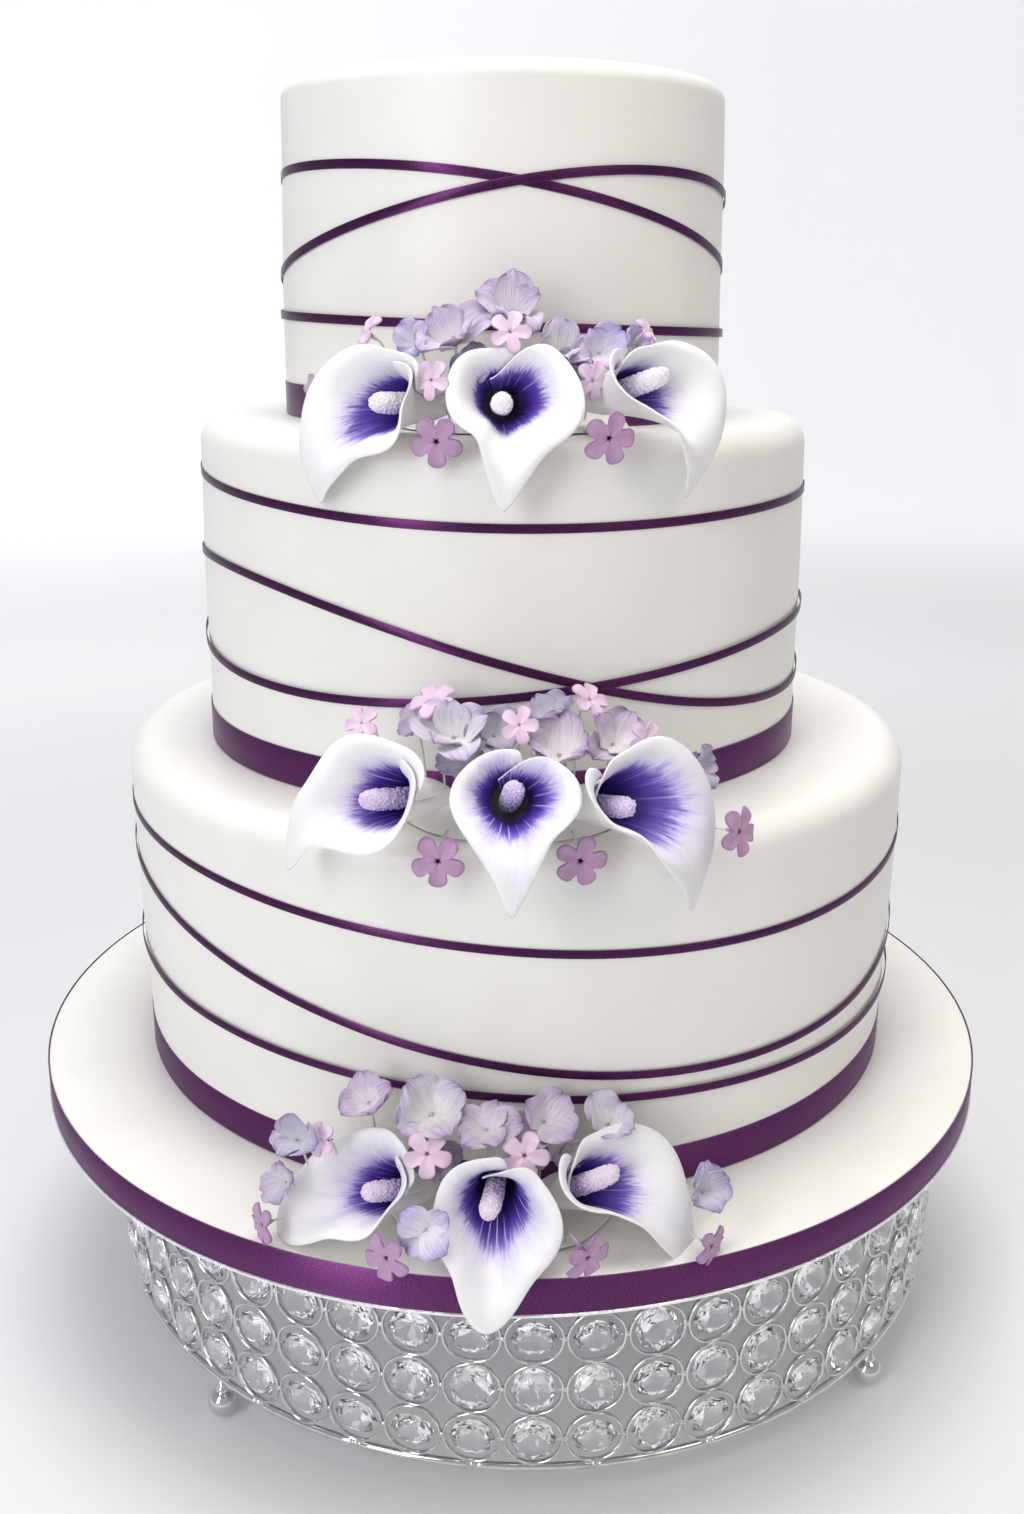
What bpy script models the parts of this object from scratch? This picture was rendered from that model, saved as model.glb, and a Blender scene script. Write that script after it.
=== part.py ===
"""Three-tier iced cake on its drum and crystal ring stand, dressed with sugar calla lilies,
hydrangeas and small blossoms, and with satin ribbons round every tier.

Metres, +Z up. The origin is on the floor under the middle of the drum, and the flowers face -Y.
Azimuths are measured round the cake from the front (-Y) towards +X.
"""

from math import cos, exp, hypot, pi, radians, sin, tau

import bmesh
import bpy
from mathutils import Matrix, Vector

MM = 0.001

# ---------------------------------------------------------------- driving dimensions
SEGMENTS = 32  # sides of every turned piece, so ribbons lie flat on their tiers
GAP = 0.3 * MM  # between pieces that touch
MERGE = 0.01 * MM

STAND_RADIUS = 181 * MM  # to the middle of the stand's wires
STAND_SHIFT = 6.9 * MM  # the drum was set down a little to one side of the stand's middle
WIRE = 3.2 * MM
FOOT = 12 * MM  # diameter of a ball foot
FOOT_FLAT = 0.5 * MM
FOOT_TURN = 48.6  # azimuth of the first foot, degrees
LOWER_HOOP_HEIGHT = 16.4 * MM  # to the wire's middle
RING_ROWS = 3
RINGS_IN_ROW = 52
RING_BAND = 3.0 * MM  # depth of the band that the rings and their crystals fill
CRYSTAL_RISE = 3.2 * MM  # how far each crystal's face stands out of the band
PLATE_BOTTOM = 85.8 * MM
PLATE_OVERHANG = 4 * MM

DRUM_RADIUS = 203 * MM  # a 16 inch drum, ribbon included
DRUM_BOTTOM = 97.6 * MM
DRUM_TOP = 112.5 * MM
DRUM_ICING = 3 * MM
FOIL_LINE = 1.0 * MM  # bare foil under the drum's ribbon

NARROW_RIBBON = 3.2 * MM
RIBBON_THICKNESS = 0.4 * MM

# name: (radius at the foot, radius under the rounded edge, height of the top, edge rounding, x, y)
TIERS = {
    "bottom": (160.9 * MM, 162.2 * MM, 245.5 * MM, 10 * MM, 2.0 * MM, 3.2 * MM),
    "middle": (121.4 * MM, 119.7 * MM, 372.5 * MM, 10 * MM, -4.0 * MM, -2.3 * MM),
    "top": (86.2 * MM, 84.1 * MM, 492.0 * MM, 6.5 * MM, -4.3 * MM, 3.4 * MM),
}
BASE_RIBBON = {"bottom": 14.4 * MM, "middle": 13.7 * MM, "top": 12.1 * MM}

# Each narrow ribbon goes round its tier three times. A turn is a tilted loop:
# (mean height over the tier's foot, rise towards, that azimuth, bend, azimuth of the bend), in mm and degrees.
TURNS = {
    "top": ((70.6, 19.1, -59, 2.1, 28), (64.3, 20.3, 44, 1.0, 16), (33.8, 3.4, -86, 0.5, 45)),
    "middle": ((101.6, 3.9, -111, 2.6, 79), (51.7, 21.7, -89, 6.7, -46), (49.0, 9.7, 145, 3.2, 52)),
    "bottom": ((103.1, 7.7, -142, 3.9, -58), (72.1, 22.8, -135, 6.2, -68), (44.3, 9.9, -127, 2.1, -9)),
}

# ---------------------------------------------------------------- flowers
CALLA_LENGTH = 46 * MM  # stem end to the front of the lip
CALLA_STEM = 4.6 * MM  # radius of the rolled stem end
CALLA_MOUTH = 20.5 * MM
CALLA_TIP = 12.5 * MM  # how much further the pointed tip reaches
CALLA_NOTCH = 6 * MM  # how much the rim dips where the petal overlaps itself
CALLA_WALL = 1.1 * MM
SPADIX_TIP = 30 * MM  # from the calla's stem end
SPADIX_RADIUS = 3.7 * MM
PETAL = 0.9 * MM
HYDRANGEA_PETALS = 4
BLOSSOM_PETALS = 5

# Each flower: where it sits (mm to the right, mm in front of the axis, mm over the ledge),
# where it faces (degrees to the right, degrees up), its turn about that, and its size.
CALLAS = {
    "top": {
        "left": ((-47, 117, 11), (-47, 3), -18, 1.05),
        "middle": ((-4, 122, 11), (2, 5), 0, 1.0),
        "right": ((49, 118, 17), (48, 13), 15, 1.02),
    },
    "middle": {
        "left": ((-49, 167, 19), (-47, 10), -25, 1.08),
        "middle": ((-1, 172, 24), (4, 28), 0, 0.96),
        "right": ((40, 167, 16), (50, 10), 15, 1.08),
    },
    "bottom": {
        "left": ((-52.5, 184, 20.5), (-47, 22), -45, 1.0),
        "middle": ((-11, 196, 18.5), (-4, 0), 0, 1.0),
        "right": ((33, 187, 25), (52, 28), 15, 0.97),
    },
}
HYDRANGEAS = {
    "top": (
        ((-21, 103, 33), (-18, 20), 10, 1.0),
        ((-2, 98, 41), (8, 25), 40, 1.0),
        ((16, 104, 30), (20, 10), 0, 0.95),
        ((35, 100, 32), (15, 15), 30, 0.9),
    ),
    "middle": (
        ((-18, 147, 34), (-10, 25), 10, 1.1),
        ((12, 149, 32), (5, 25), 30, 0.95),
        ((33, 146, 34), (20, 20), 0, 0.95),
    ),
    "bottom": (
        ((-52, 169, 49), (-15, 20), 20, 0.92),
        ((-29, 172, 44), (0, 25), 5, 1.05),
        ((-8.5, 176.5, 37), (5, 20), 40, 0.82),
        ((9, 170, 42), (10, 15), 25, 0.95),
        ((29, 167.5, 39), (25, 20), 0, 0.93),
    ),
}
BLOSSOMS = {
    "top": (
        ((-28, 119, 19), (-20, 10), 0, 0.85),
        ((1, 113, 33), (0, 15), 15, 0.9),
        ((-27, 128, -2), (-5, -5), 0, 1.1),
        ((31, 127, 0), (10, -10), 20, 1.15),
    ),
    "middle": (
        ((-49, 142, 38), (-35, 30), 0, 0.8),
        ((1, 154, 40), (0, 20), 15, 0.85),
        ((-25, 168, -2), (-5, 0), 0, 1.15),
        ((21, 168, -2), (5, 0), 20, 1.15),
    ),
    "bottom": (
        ((-29, 185, 34), (0, 20), 0, 1.05),
        ((3, 184, 34), (0, 20), 15, 1.1),
        ((-41, 206, 8), (-12, -5), 0, 1.1),
        ((23, 206, 8), (10, -5), 20, 1.1),
    ),
}
HYDRANGEA_RADIUS = 12 * MM
BLOSSOM_RADIUS = 7.8 * MM

LEDGES = {"bottom": DRUM_TOP, "middle": TIERS["bottom"][2], "top": TIERS["middle"][2]}

# Each spray is stuck into a pad of sugar paste: (middle, depth, height).
PADS = {
    "top": (0, 27 * MM, 1.8 * MM),
    "middle": (0, 30 * MM, 4.2 * MM),
    "bottom": (-5 * MM, 31 * MM, 2.8 * MM),
}
PAD_HALF_WIDTH = 40 * MM
PAD_EDGE = 0.8 * MM
PAD_CLEARANCE = 3.2 * MM  # from the tier, past its ribbons
PAD_BANK = 14 * MM  # how much higher the pad is against the tier
PAD_BANK_DEPTH = 3.5 * MM

# ---------------------------------------------------------------- materials
FINISHES = {
    "fondant": ((0.86, 0.85, 0.82, 1), 0.45, 0.0),
    "satin ribbon": ((0.09, 0.015, 0.11, 1), 0.35, 0.0),
    "white sugar petal": ((0.88, 0.88, 0.90, 1), 0.5, 0.0),
    "sugared spadix": ((0.85, 0.80, 0.88, 1), 0.8, 0.0),
    "lilac sugar petal": ((0.62, 0.55, 0.80, 1), 0.6, 0.0),
    "mauve sugar petal": ((0.60, 0.38, 0.62, 1), 0.6, 0.0),
    "silver foil": ((0.75, 0.75, 0.76, 1), 0.3, 1.0),
    "chromed wire": ((0.80, 0.80, 0.82, 1), 0.12, 1.0),
    "cut crystal": ((0.93, 0.94, 0.96, 1), 0.05, 0.0),
}


def material(name):
    found = bpy.data.materials.get(name)
    if found:
        return found
    made = bpy.data.materials.new(name)
    made.use_nodes = True
    colour, roughness, metallic = FINISHES[name]
    shader = made.node_tree.nodes["Principled BSDF"]
    shader.inputs["Base Color"].default_value = colour
    shader.inputs["Roughness"].default_value = roughness
    shader.inputs["Metallic"].default_value = metallic
    made.diffuse_color = colour
    return made


# ---------------------------------------------------------------- ways of making a piece
def add_object(name, mesh, finish):
    obj = bpy.data.objects.new(name, mesh)
    parts.objects.link(obj)
    mesh.materials.append(material(finish))
    return obj


def mesh_from(name, points, edges=(), faces=()):
    mesh = bpy.data.meshes.new(name)
    mesh.from_pydata(points, edges, faces)
    return mesh


def turned(name, profile, finish, steps=SEGMENTS, closed=False):
    """A profile of (radius, height) points, run from the top down its outer side, turned about +Z."""
    count = len(profile)
    edges = [(i, (i + 1) % count) for i in range(count if closed else count - 1)]
    obj = add_object(name, mesh_from(name, [(r, 0, z) for r, z in profile], edges), finish)
    screw = obj.modifiers.new("Turn", "SCREW")
    screw.steps = screw.render_steps = steps
    screw.use_merge_vertices = True
    screw.merge_threshold = MERGE
    return obj


def solidified(name, mesh, finish, thickness, offset):
    obj = add_object(name, mesh, finish)
    solid = obj.modifiers.new("Thickness", "SOLIDIFY")
    solid.thickness = thickness
    solid.offset = offset
    return obj


def mesh_of(obj):
    """The object's evaluated mesh, as a new mesh."""
    bpy.context.view_layer.update()
    return bpy.data.meshes.new_from_object(obj.evaluated_get(bpy.context.evaluated_depsgraph_get()))


def arc(centre_r, centre_z, radius, steps):
    """Points of a rounded outer edge, from level at the top to upright at the side."""
    turns = [i * pi / 2 / steps for i in range(steps + 1)]
    return [(centre_r + radius * sin(a), centre_z + radius * cos(a)) for a in turns]


# ---------------------------------------------------------------- the stand
def lower_hoop_with_feet():
    bpy.ops.mesh.primitive_torus_add(
        major_radius=STAND_RADIUS, minor_radius=WIRE / 2, major_segments=RINGS_IN_ROW // 2, minor_segments=4,
        location=(STAND_SHIFT, 0, LOWER_HOOP_HEIGHT),
    )
    hoop = bpy.context.object
    hoop.name = hoop.data.name = "stand_lower_hoop_and_feet"
    hoop.data.materials.append(material("chromed wire"))
    for collection in hoop.users_collection:
        collection.objects.unlink(hoop)
    parts.objects.link(hoop)
    ball = FOOT / 2
    neck = ball * 0.4
    foot_profile = [
        (0, LOWER_HOOP_HEIGHT - 0.4 * MM), (neck, LOWER_HOOP_HEIGHT - 0.4 * MM), (neck, FOOT * 0.94),
        (ball, ball * 1.25), (ball, ball * 0.75), (ball * 0.5, 0), (0, 0),
    ]
    for quarter in range(4):
        azimuth = radians(FOOT_TURN + 90 * quarter)
        foot = turned(f"foot_{quarter + 1}", foot_profile, "chromed wire", steps=6)
        foot.location = (STAND_SHIFT + STAND_RADIUS * sin(azimuth), -STAND_RADIUS * cos(azimuth), 0)
        parts.objects.unlink(foot)
        joined.objects.link(foot)
        union = hoop.modifiers.new(foot.name, "BOOLEAN")
        union.operation = "UNION"
        union.object = foot
        foot.hide_render = True
        foot.display_type = "WIRE"


def crystal_band():
    """The rings, their crystals and the upper wire as one closed band: each ring's cell is a faceted stud."""
    low = LOWER_HOOP_HEIGHT + WIRE / 2 + GAP
    ring_top = PLATE_BOTTOM - WIRE - GAP
    outer, inner = STAND_RADIUS + RING_BAND / 2, STAND_RADIUS - RING_BAND / 2
    rows = [ring_top + (low - ring_top) * row / RING_ROWS for row in range(RING_ROWS + 1)]
    wire_top = PLATE_BOTTOM - GAP
    profile = [(outer, z) for z in [wire_top] + rows] + [(inner, low), (inner, wire_top)]
    band = turned("stand_crystal_band", profile, "cut crystal", steps=RINGS_IN_ROW, closed=True)
    mesh = mesh_of(band)
    band.modifiers.clear()
    shape = bmesh.new()
    shape.from_mesh(mesh)
    cells = [
        face for face in shape.faces
        if face.normal.dot(face.calc_center_median()) > STAND_RADIUS * 0.9 and face.calc_area() > WIRE * WIRE * 10
    ]
    bmesh.ops.poke(shape, faces=cells, offset=CRYSTAL_RISE)
    shape.to_mesh(mesh)
    shape.free()
    band.data = mesh
    band.location.x = STAND_SHIFT


def plate():
    high = DRUM_BOTTOM - GAP
    radius = STAND_RADIUS + PLATE_OVERHANG
    profile = [(0, high), (radius, high), (radius, PLATE_BOTTOM), (0, PLATE_BOTTOM)]
    turned("stand_plate", profile, "chromed wire").location.x = STAND_SHIFT


# ---------------------------------------------------------------- the drum and the tiers
def drum():
    core = DRUM_RADIUS - RIBBON_THICKNESS - GAP
    foil_top = DRUM_TOP - DRUM_ICING - GAP
    turned("drum_board", [(0, foil_top), (core, foil_top), (core, DRUM_BOTTOM), (0, DRUM_BOTTOM)], "silver foil")
    icing_low = DRUM_TOP - DRUM_ICING
    turned("drum_icing", [(0, DRUM_TOP), (core, DRUM_TOP), (core, icing_low), (0, icing_low)], "fondant")
    low, high = DRUM_BOTTOM + FOIL_LINE, DRUM_TOP
    profile = [(DRUM_RADIUS, high), (DRUM_RADIUS, low), (core + GAP, low), (core + GAP, high)]
    turned("drum_ribbon", profile, "satin ribbon", closed=True)


def tier(name, foot_height):
    foot, shoulder, top, rounding, x, y = TIERS[name]
    rim = arc(shoulder - rounding, top - rounding, rounding, 2)
    profile = [(0, top)] + rim + [(foot, foot_height), (0, foot_height)]
    turned(f"tier_{name}", profile, "fondant").location = (x, y, 0)


def base_ribbon(name, foot_height):
    foot, x, y = TIERS[name][0], TIERS[name][4], TIERS[name][5]
    inner = foot + GAP + abs(TIERS[name][1] - foot) * 0.15
    outer = inner + RIBBON_THICKNESS
    high = foot_height + BASE_RIBBON[name]
    profile = [(outer, high), (outer, foot_height), (inner, foot_height), (inner, high)]
    turned(f"base_ribbon_{name}", profile, "satin ribbon", closed=True).location = (x, y, 0)


def turn_height(turn, azimuth):
    level, rise, towards, bend, bend_towards = turn
    return level + rise * cos(azimuth - radians(towards)) + bend * cos(2 * (azimuth - radians(bend_towards)))


def narrow_ribbon(name, foot_height):
    """One long ribbon: each turn follows its tilted loop at the front and meets the next turn at the back."""
    foot, shoulder, top, rounding, x, y = TIERS[name]
    turns = TURNS[name]
    backs = [turn_height(turn, pi) for turn in turns]
    meets = [backs[0]] + [(a + b) / 2 for a, b in zip(backs, backs[1:])] + [backs[-1]]
    lower, upper, ridge = [], [], []
    side_top = top - rounding

    def height(azimuth, number):
        own = turn_height(turns[number], azimuth)
        share = max(0.0, abs(azimuth) - radians(90)) / radians(90)
        share = share * share * (3 - 2 * share)
        return own + (meets[number + (azimuth > 0)] - own) * share

    for step in range(SEGMENTS * len(turns) + 1):
        number = min(step // SEGMENTS, len(turns) - 1)
        azimuth = (step - number * SEGMENTS) * tau / SEGMENTS - pi
        middle = height(azimuth, number) * MM
        slope = (height(azimuth + 0.02, number) - height(azimuth - 0.02, number)) * MM / (0.04 * foot)
        half = NARROW_RIBBON / 2 * hypot(1, slope)
        layer = GAP + (RIBBON_THICKNESS + GAP) * step / SEGMENTS
        for edge, rise, out in ((lower, -half, 0), (upper, half, 0), (ridge, 0, RIBBON_THICKNESS)):
            z = foot_height + middle + rise
            wall = foot + (shoulder - foot) * (z - foot_height) / (side_top - foot_height)
            radius = wall + layer + out
            edge.append((radius * sin(azimuth), -radius * cos(azimuth), z))
    count = len(lower)
    rows = ((0, 2), (2, 1), (1, 0))  # lower edge to ridge, ridge to upper edge, and the back against the tier
    faces = [
        (a * count + i, a * count + i + 1, b * count + i + 1, b * count + i)
        for a, b in rows for i in range(count - 1)
    ]
    faces += [(0, 2 * count, count), (count - 1, 2 * count - 1, 3 * count - 1)]
    mesh = mesh_from(f"narrow_ribbon_{name}", lower + upper + ridge, faces=faces)
    add_object(f"narrow_ribbon_{name}", mesh, "satin ribbon").location = (x, y, 0)


# ---------------------------------------------------------------- sugar flowers, modelled facing +Z, tip towards -Y
def calla_mesh(sides=10, steps=(0.0, 0.35, 0.62, 0.84, 1.0)):
    """A petal rolled into a funnel: its rim dips at the back, bulges at the sides and runs out to a tip."""
    points = [(0, 0, 0)]
    for t in steps:
        for k in range(sides):
            around = k * tau / sides
            away = min(around, tau - around)  # from the tip
            mouth = CALLA_MOUTH + 2.5 * MM * sin(away) ** 2
            mouth += CALLA_TIP * exp(-away / 0.3) - CALLA_NOTCH * exp(-(((pi - away) / 0.35) ** 2))
            reach = CALLA_STEM + (mouth - CALLA_STEM) * t**2.4
            rise = CALLA_LENGTH * (0.78 + 0.22 * cos(away)) * (1 - (1 - t) ** 1.5)
            rise -= 7 * MM * exp(-away / 0.5) * t**6
            points.append((reach * sin(around), -reach * cos(around), rise))
    faces = [(0, 1 + (k + 1) % sides, 1 + k) for k in range(sides)]
    for ring in range(len(steps) - 1):
        low, high = 1 + ring * sides, 1 + (ring + 1) * sides
        for k in range(sides):
            after = (k + 1) % sides
            faces.append((low + k, low + after, high + after, high + k))
    return mesh_from("calla", points, faces=faces)


def petalled_mesh(name, petals, radius, cleft, cup, throat, waist, tail):
    """A flower of joined round petals, closed at once: front, rim, and a back that narrows to its stem.

    cup is how far the petal ends stand forward, throat how deep the middle lies, waist the share of
    the radius that stays round, and tail how far the stem end reaches back.
    """
    rim_count = petals * 3
    rim = []
    for k in range(rim_count):
        size = radius * (cleft if k % 3 == 0 else 1)
        around = k * tau / rim_count
        rim.append((size * sin(around), -size * cos(around), cup * (size / radius) ** 2))
    neck = []
    for k in range(petals):
        around = (k + 0.5) * tau / petals
        neck.append((radius * waist * sin(around), -radius * waist * cos(around), -throat - PETAL))
    front = [(0, 0, -throat)] + rim
    back = [(x, y, z - PETAL) for x, y, z in rim] + neck + [(0, 0, -tail)]
    first_back, first_neck = len(front), len(front) + rim_count
    end = first_neck + petals
    faces = []
    for k in range(rim_count):
        after = (k + 1) % rim_count
        petal = k // 3
        faces.append((0, 1 + k, 1 + after))
        faces.append((1 + k, first_back + k, first_back + after, 1 + after))
        faces.append((first_back + after, first_back + k, first_neck + petal))
    for petal in range(petals):
        after = (petal + 1) % petals
        cleft_point = first_back + after * 3
        faces.append((cleft_point, first_neck + petal, first_neck + after))
        faces.append((first_neck + after, first_neck + petal, end))
    return mesh_from(name, front + back, faces=faces)


def set_in_place(obj, ledge, place, facing, turn, size):
    """Stands a flower on a ledge: modelled facing +Z, it is turned to face out and up as asked."""
    right, front, up = place
    heading, pitch = facing
    turned_to = Matrix.Rotation(radians(heading), 4, "Z") @ Matrix.Rotation(radians(90 - pitch), 4, "X")
    turned_to = turned_to @ Matrix.Rotation(radians(turn), 4, "Z") @ Matrix.Scale(size, 4)
    obj.matrix_world = Matrix.Translation(Vector((right * MM, -front * MM, ledge + up * MM))) @ turned_to


def callas():
    spadix_profile = [
        (0, SPADIX_TIP), (SPADIX_RADIUS * 0.62, SPADIX_TIP - 0.8 * MM), (SPADIX_RADIUS, SPADIX_TIP - 4 * MM),
        (SPADIX_RADIUS * 0.95, SPADIX_TIP * 0.6), (SPADIX_RADIUS * 0.6, 6 * MM), (0, 5.5 * MM),
    ]
    back_to_stem = Matrix.Translation((0, 0, -SPADIX_TIP))
    for ledge, flowers in CALLAS.items():
        for side, (place, facing, turn, size) in flowers.items():
            petal = solidified(f"calla_{ledge}_{side}", calla_mesh(), "white sugar petal", CALLA_WALL, -1)
            spadix = turned(f"spadix_{ledge}_{side}", spadix_profile, "sugared spadix", steps=5)
            for piece in (petal, spadix):
                set_in_place(piece, LEDGES[ledge], place, facing, turn, size)
                piece.matrix_world = piece.matrix_world @ back_to_stem


def small_flowers():
    for ledge, flowers in HYDRANGEAS.items():
        for number, placing in enumerate(flowers, 1):
            mesh = petalled_mesh("hydrangea", HYDRANGEA_PETALS, HYDRANGEA_RADIUS,
                                 cleft=0.62, cup=4.5 * MM, throat=0, waist=0.2, tail=12 * MM)
            flower = add_object(f"hydrangea_{ledge}_{number}", mesh, "lilac sugar petal")
            set_in_place(flower, LEDGES[ledge], *placing)
    for ledge, flowers in BLOSSOMS.items():
        for number, placing in enumerate(flowers, 1):
            mesh = petalled_mesh("blossom", BLOSSOM_PETALS, BLOSSOM_RADIUS,
                                 cleft=0.55, cup=2 * MM, throat=2 * MM, waist=0.25, tail=9 * MM)
            flower = add_object(f"blossom_{ledge}_{number}", mesh, "mauve sugar petal")
            set_in_place(flower, LEDGES[ledge], *placing)


def paste_pads():
    """The sugar paste that the flowers' wires are pushed into: a low mound, banked up against the tier."""
    for ledge, (middle, depth, height) in PADS.items():
        foot, y = TIERS[ledge][0], TIERS[ledge][5]
        wall = foot - y + PAD_CLEARANCE
        base = LEDGES[ledge] + GAP
        shape = bmesh.new()
        bmesh.ops.create_grid(shape, x_segments=8, y_segments=4, size=1)
        under = bmesh.ops.extrude_face_region(shape, geom=shape.faces[:], use_keep_orig=True)["geom"]
        underside = {part for part in under if isinstance(part, bmesh.types.BMVert)}
        for vert in shape.verts:
            side = sin(vert.co.x * pi / 2)  # closer together at the ends
            along = (vert.co.y + 1) / 2
            out = depth * (1 - 0.7 * side**4) * along
            x = middle + side * PAD_HALF_WIDTH
            bank = PAD_BANK * exp(-((out / PAD_BANK_DEPTH) ** 2))
            rise = PAD_EDGE + (height + bank) * (1 - side**6) * (1 - along**4)
            vert.co = (x, x * x / (2 * wall) - wall - out, base if vert in underside else base + rise)
        bmesh.ops.recalc_face_normals(shape, faces=shape.faces)
        if shape.calc_volume(signed=True) < 0:
            bmesh.ops.reverse_faces(shape, faces=shape.faces)
        mesh = bpy.data.meshes.new("pad")
        shape.to_mesh(mesh)
        shape.free()
        add_object(f"paste_pad_{ledge}", mesh, "fondant")


# ---------------------------------------------------------------- the whole cake
for old in list(bpy.data.objects):
    bpy.data.objects.remove(old)
parts = bpy.data.collections.new("tiered_cake")
joined = bpy.data.collections.new("joined_pieces")
for collection in (parts, joined):
    bpy.context.scene.collection.children.link(collection)

lower_hoop_with_feet()
crystal_band()
plate()
drum()
foot_height = DRUM_TOP + GAP
for tier_name in TIERS:
    tier(tier_name, foot_height)
    base_ribbon(tier_name, foot_height)
    narrow_ribbon(tier_name, foot_height)
    foot_height = TIERS[tier_name][2] + GAP
callas()
small_flowers()
paste_pads()
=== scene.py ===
# %% [markdown]
# # A three-tier wedding-style cake on a crystal ring stand
#
# The part's solids are already right in size and place. This script dresses them: it reads where each one is,
# models the real surface there, gives it a finish, and hides the plain solid behind it. Everything is in
# metres, the cake faces -Y, and every piece rides on the one body, because nothing on a cake moves.

# %% Load the frame
from math import cos, exp, pi, radians, sin, tau

import bmesh
import bpy
import numpy as np
from mathutils import Matrix, Vector, noise


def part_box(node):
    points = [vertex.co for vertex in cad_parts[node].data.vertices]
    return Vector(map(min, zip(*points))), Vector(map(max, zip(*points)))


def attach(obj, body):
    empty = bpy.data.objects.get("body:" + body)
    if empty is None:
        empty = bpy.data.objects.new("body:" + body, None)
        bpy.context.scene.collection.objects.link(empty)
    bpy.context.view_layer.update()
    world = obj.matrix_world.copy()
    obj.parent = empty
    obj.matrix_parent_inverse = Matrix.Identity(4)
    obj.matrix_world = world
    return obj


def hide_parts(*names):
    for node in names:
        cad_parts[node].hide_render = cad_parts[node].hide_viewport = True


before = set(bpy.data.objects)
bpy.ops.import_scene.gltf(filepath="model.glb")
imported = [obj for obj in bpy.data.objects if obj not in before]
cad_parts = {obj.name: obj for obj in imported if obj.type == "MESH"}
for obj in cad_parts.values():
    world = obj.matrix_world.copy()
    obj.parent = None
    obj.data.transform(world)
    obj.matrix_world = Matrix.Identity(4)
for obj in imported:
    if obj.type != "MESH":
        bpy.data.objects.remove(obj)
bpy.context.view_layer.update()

MM = 0.001
print("solids:", len(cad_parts))

# %% [markdown]
# ## The camera
#
# The cake is seen from a little above the middle ledge, close enough that the drum looks much wider than the
# top tier. A camera looks along its own -Z, so it is first tipped up from looking straight down, and then
# turned and rolled by the fraction of a degree that a hand-held camera always has.

# %% The camera
CAMERA_PLACE = (-0.0056, -0.5973, 0.415)
CAMERA_PITCH, CAMERA_YAW, CAMERA_ROLL = radians(17.55), radians(0.55), radians(0.21)

camera_data = bpy.data.cameras.new("camera")
camera_data.sensor_width, camera_data.lens = 36, 34.28
camera = bpy.data.objects.new("camera", camera_data)
bpy.context.scene.collection.objects.link(camera)
turned = Matrix.Rotation(-CAMERA_YAW, 4, "Z") @ Matrix.Rotation(pi / 2 - CAMERA_PITCH, 4, "X")
camera.matrix_world = Matrix.Translation(CAMERA_PLACE) @ turned @ Matrix.Rotation(CAMERA_ROLL, 4, "Z")
bpy.context.scene.camera = camera
print("camera", round(-CAMERA_PLACE[1], 3), "m in front of the cake's axis")

# %% [markdown]
# ## Small helpers
#
# A node tree is a long sum, so it is written as one. `node` makes a node: numbers and fields go to its
# sockets in order or by name, and words in small letters set its options. What it gives back is a field,
# which is the node's output, and fields add and multiply as numbers do.


# %% Helpers for node trees
def socket_of(sockets, key):
    """A socket by number, or the enabled one of that name, as some nodes hold several of one name."""
    return sockets[key] if isinstance(key, int) else next(s for s in sockets if s.name == key and s.enabled)


def fill(socket, value):
    """Links a field to a socket, or types a plain value in."""
    if isinstance(value, Field):
        value.tree.links.new(value.socket, socket)
    else:
        socket.default_value = (*value, 1) if socket.type == "RGBA" and len(value) == 3 else value


class Field:
    """An output of a node. field[key] is another output of the same node."""

    def __init__(self, socket):
        self.socket, self.tree = socket, socket.id_data

    def __getitem__(self, key):
        return Field(socket_of(self.socket.node.outputs, key))

    def __add__(self, other):
        return sum_of("ADD", self, other)

    def __sub__(self, other):
        return sum_of("SUBTRACT", self, other)

    def __mul__(self, other):
        return sum_of("MULTIPLY", self, other)


def node(tree, kind, *values, **named):
    made = tree.nodes.new(kind)
    for option in [key for key in named if key[0].islower()]:
        setattr(made, option, named.pop(option))
    for key, value in [*enumerate(values), *named.items()]:
        fill(socket_of(made.inputs, key if isinstance(key, int) else key.replace("_", " ")), value)
    return Field(made.outputs[0])


def sum_of(operation, first, second=0.0):
    tree = (first if isinstance(first, Field) else second).tree
    return node(tree, "ShaderNodeMath", first, second, operation=operation)


def remap(value, low, high, to_low=0.0, to_high=1.0, smooth=False):
    """Maps low..high onto to_low..to_high, and stays there outside that range."""
    return node(value.tree, "ShaderNodeMapRange", value, low, high, to_low, to_high,
                interpolation_type="SMOOTHSTEP" if smooth else "LINEAR")


def blend(share, first, second):
    """One colour into another. A colour is (r, g, b) or a field."""
    mixer = share.tree.nodes.new("ShaderNodeMix")
    mixer.data_type = "RGBA"
    for number, value in ((0, share), (6, first), (7, second)):
        fill(mixer.inputs[number], value)
    return Field(mixer.outputs[2])


def noise_of(vector, scale, detail=2.0, roughness=0.5):
    return node(
        vector.tree, "ShaderNodeTexNoise", Vector=vector, Scale=scale, Detail=detail, Roughness=roughness)


def coordinates(tree, kind="Object"):
    return node(tree, "ShaderNodeTexCoord")[kind]


def split(vector):
    return node(vector.tree, "ShaderNodeSeparateXYZ", vector)


def vector_of(tree, *parts):
    return node(tree, "ShaderNodeCombineXYZ", *parts)


def bumped(height):
    return node(height.tree, "ShaderNodeBump", Distance=1.0, Height=height)


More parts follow.
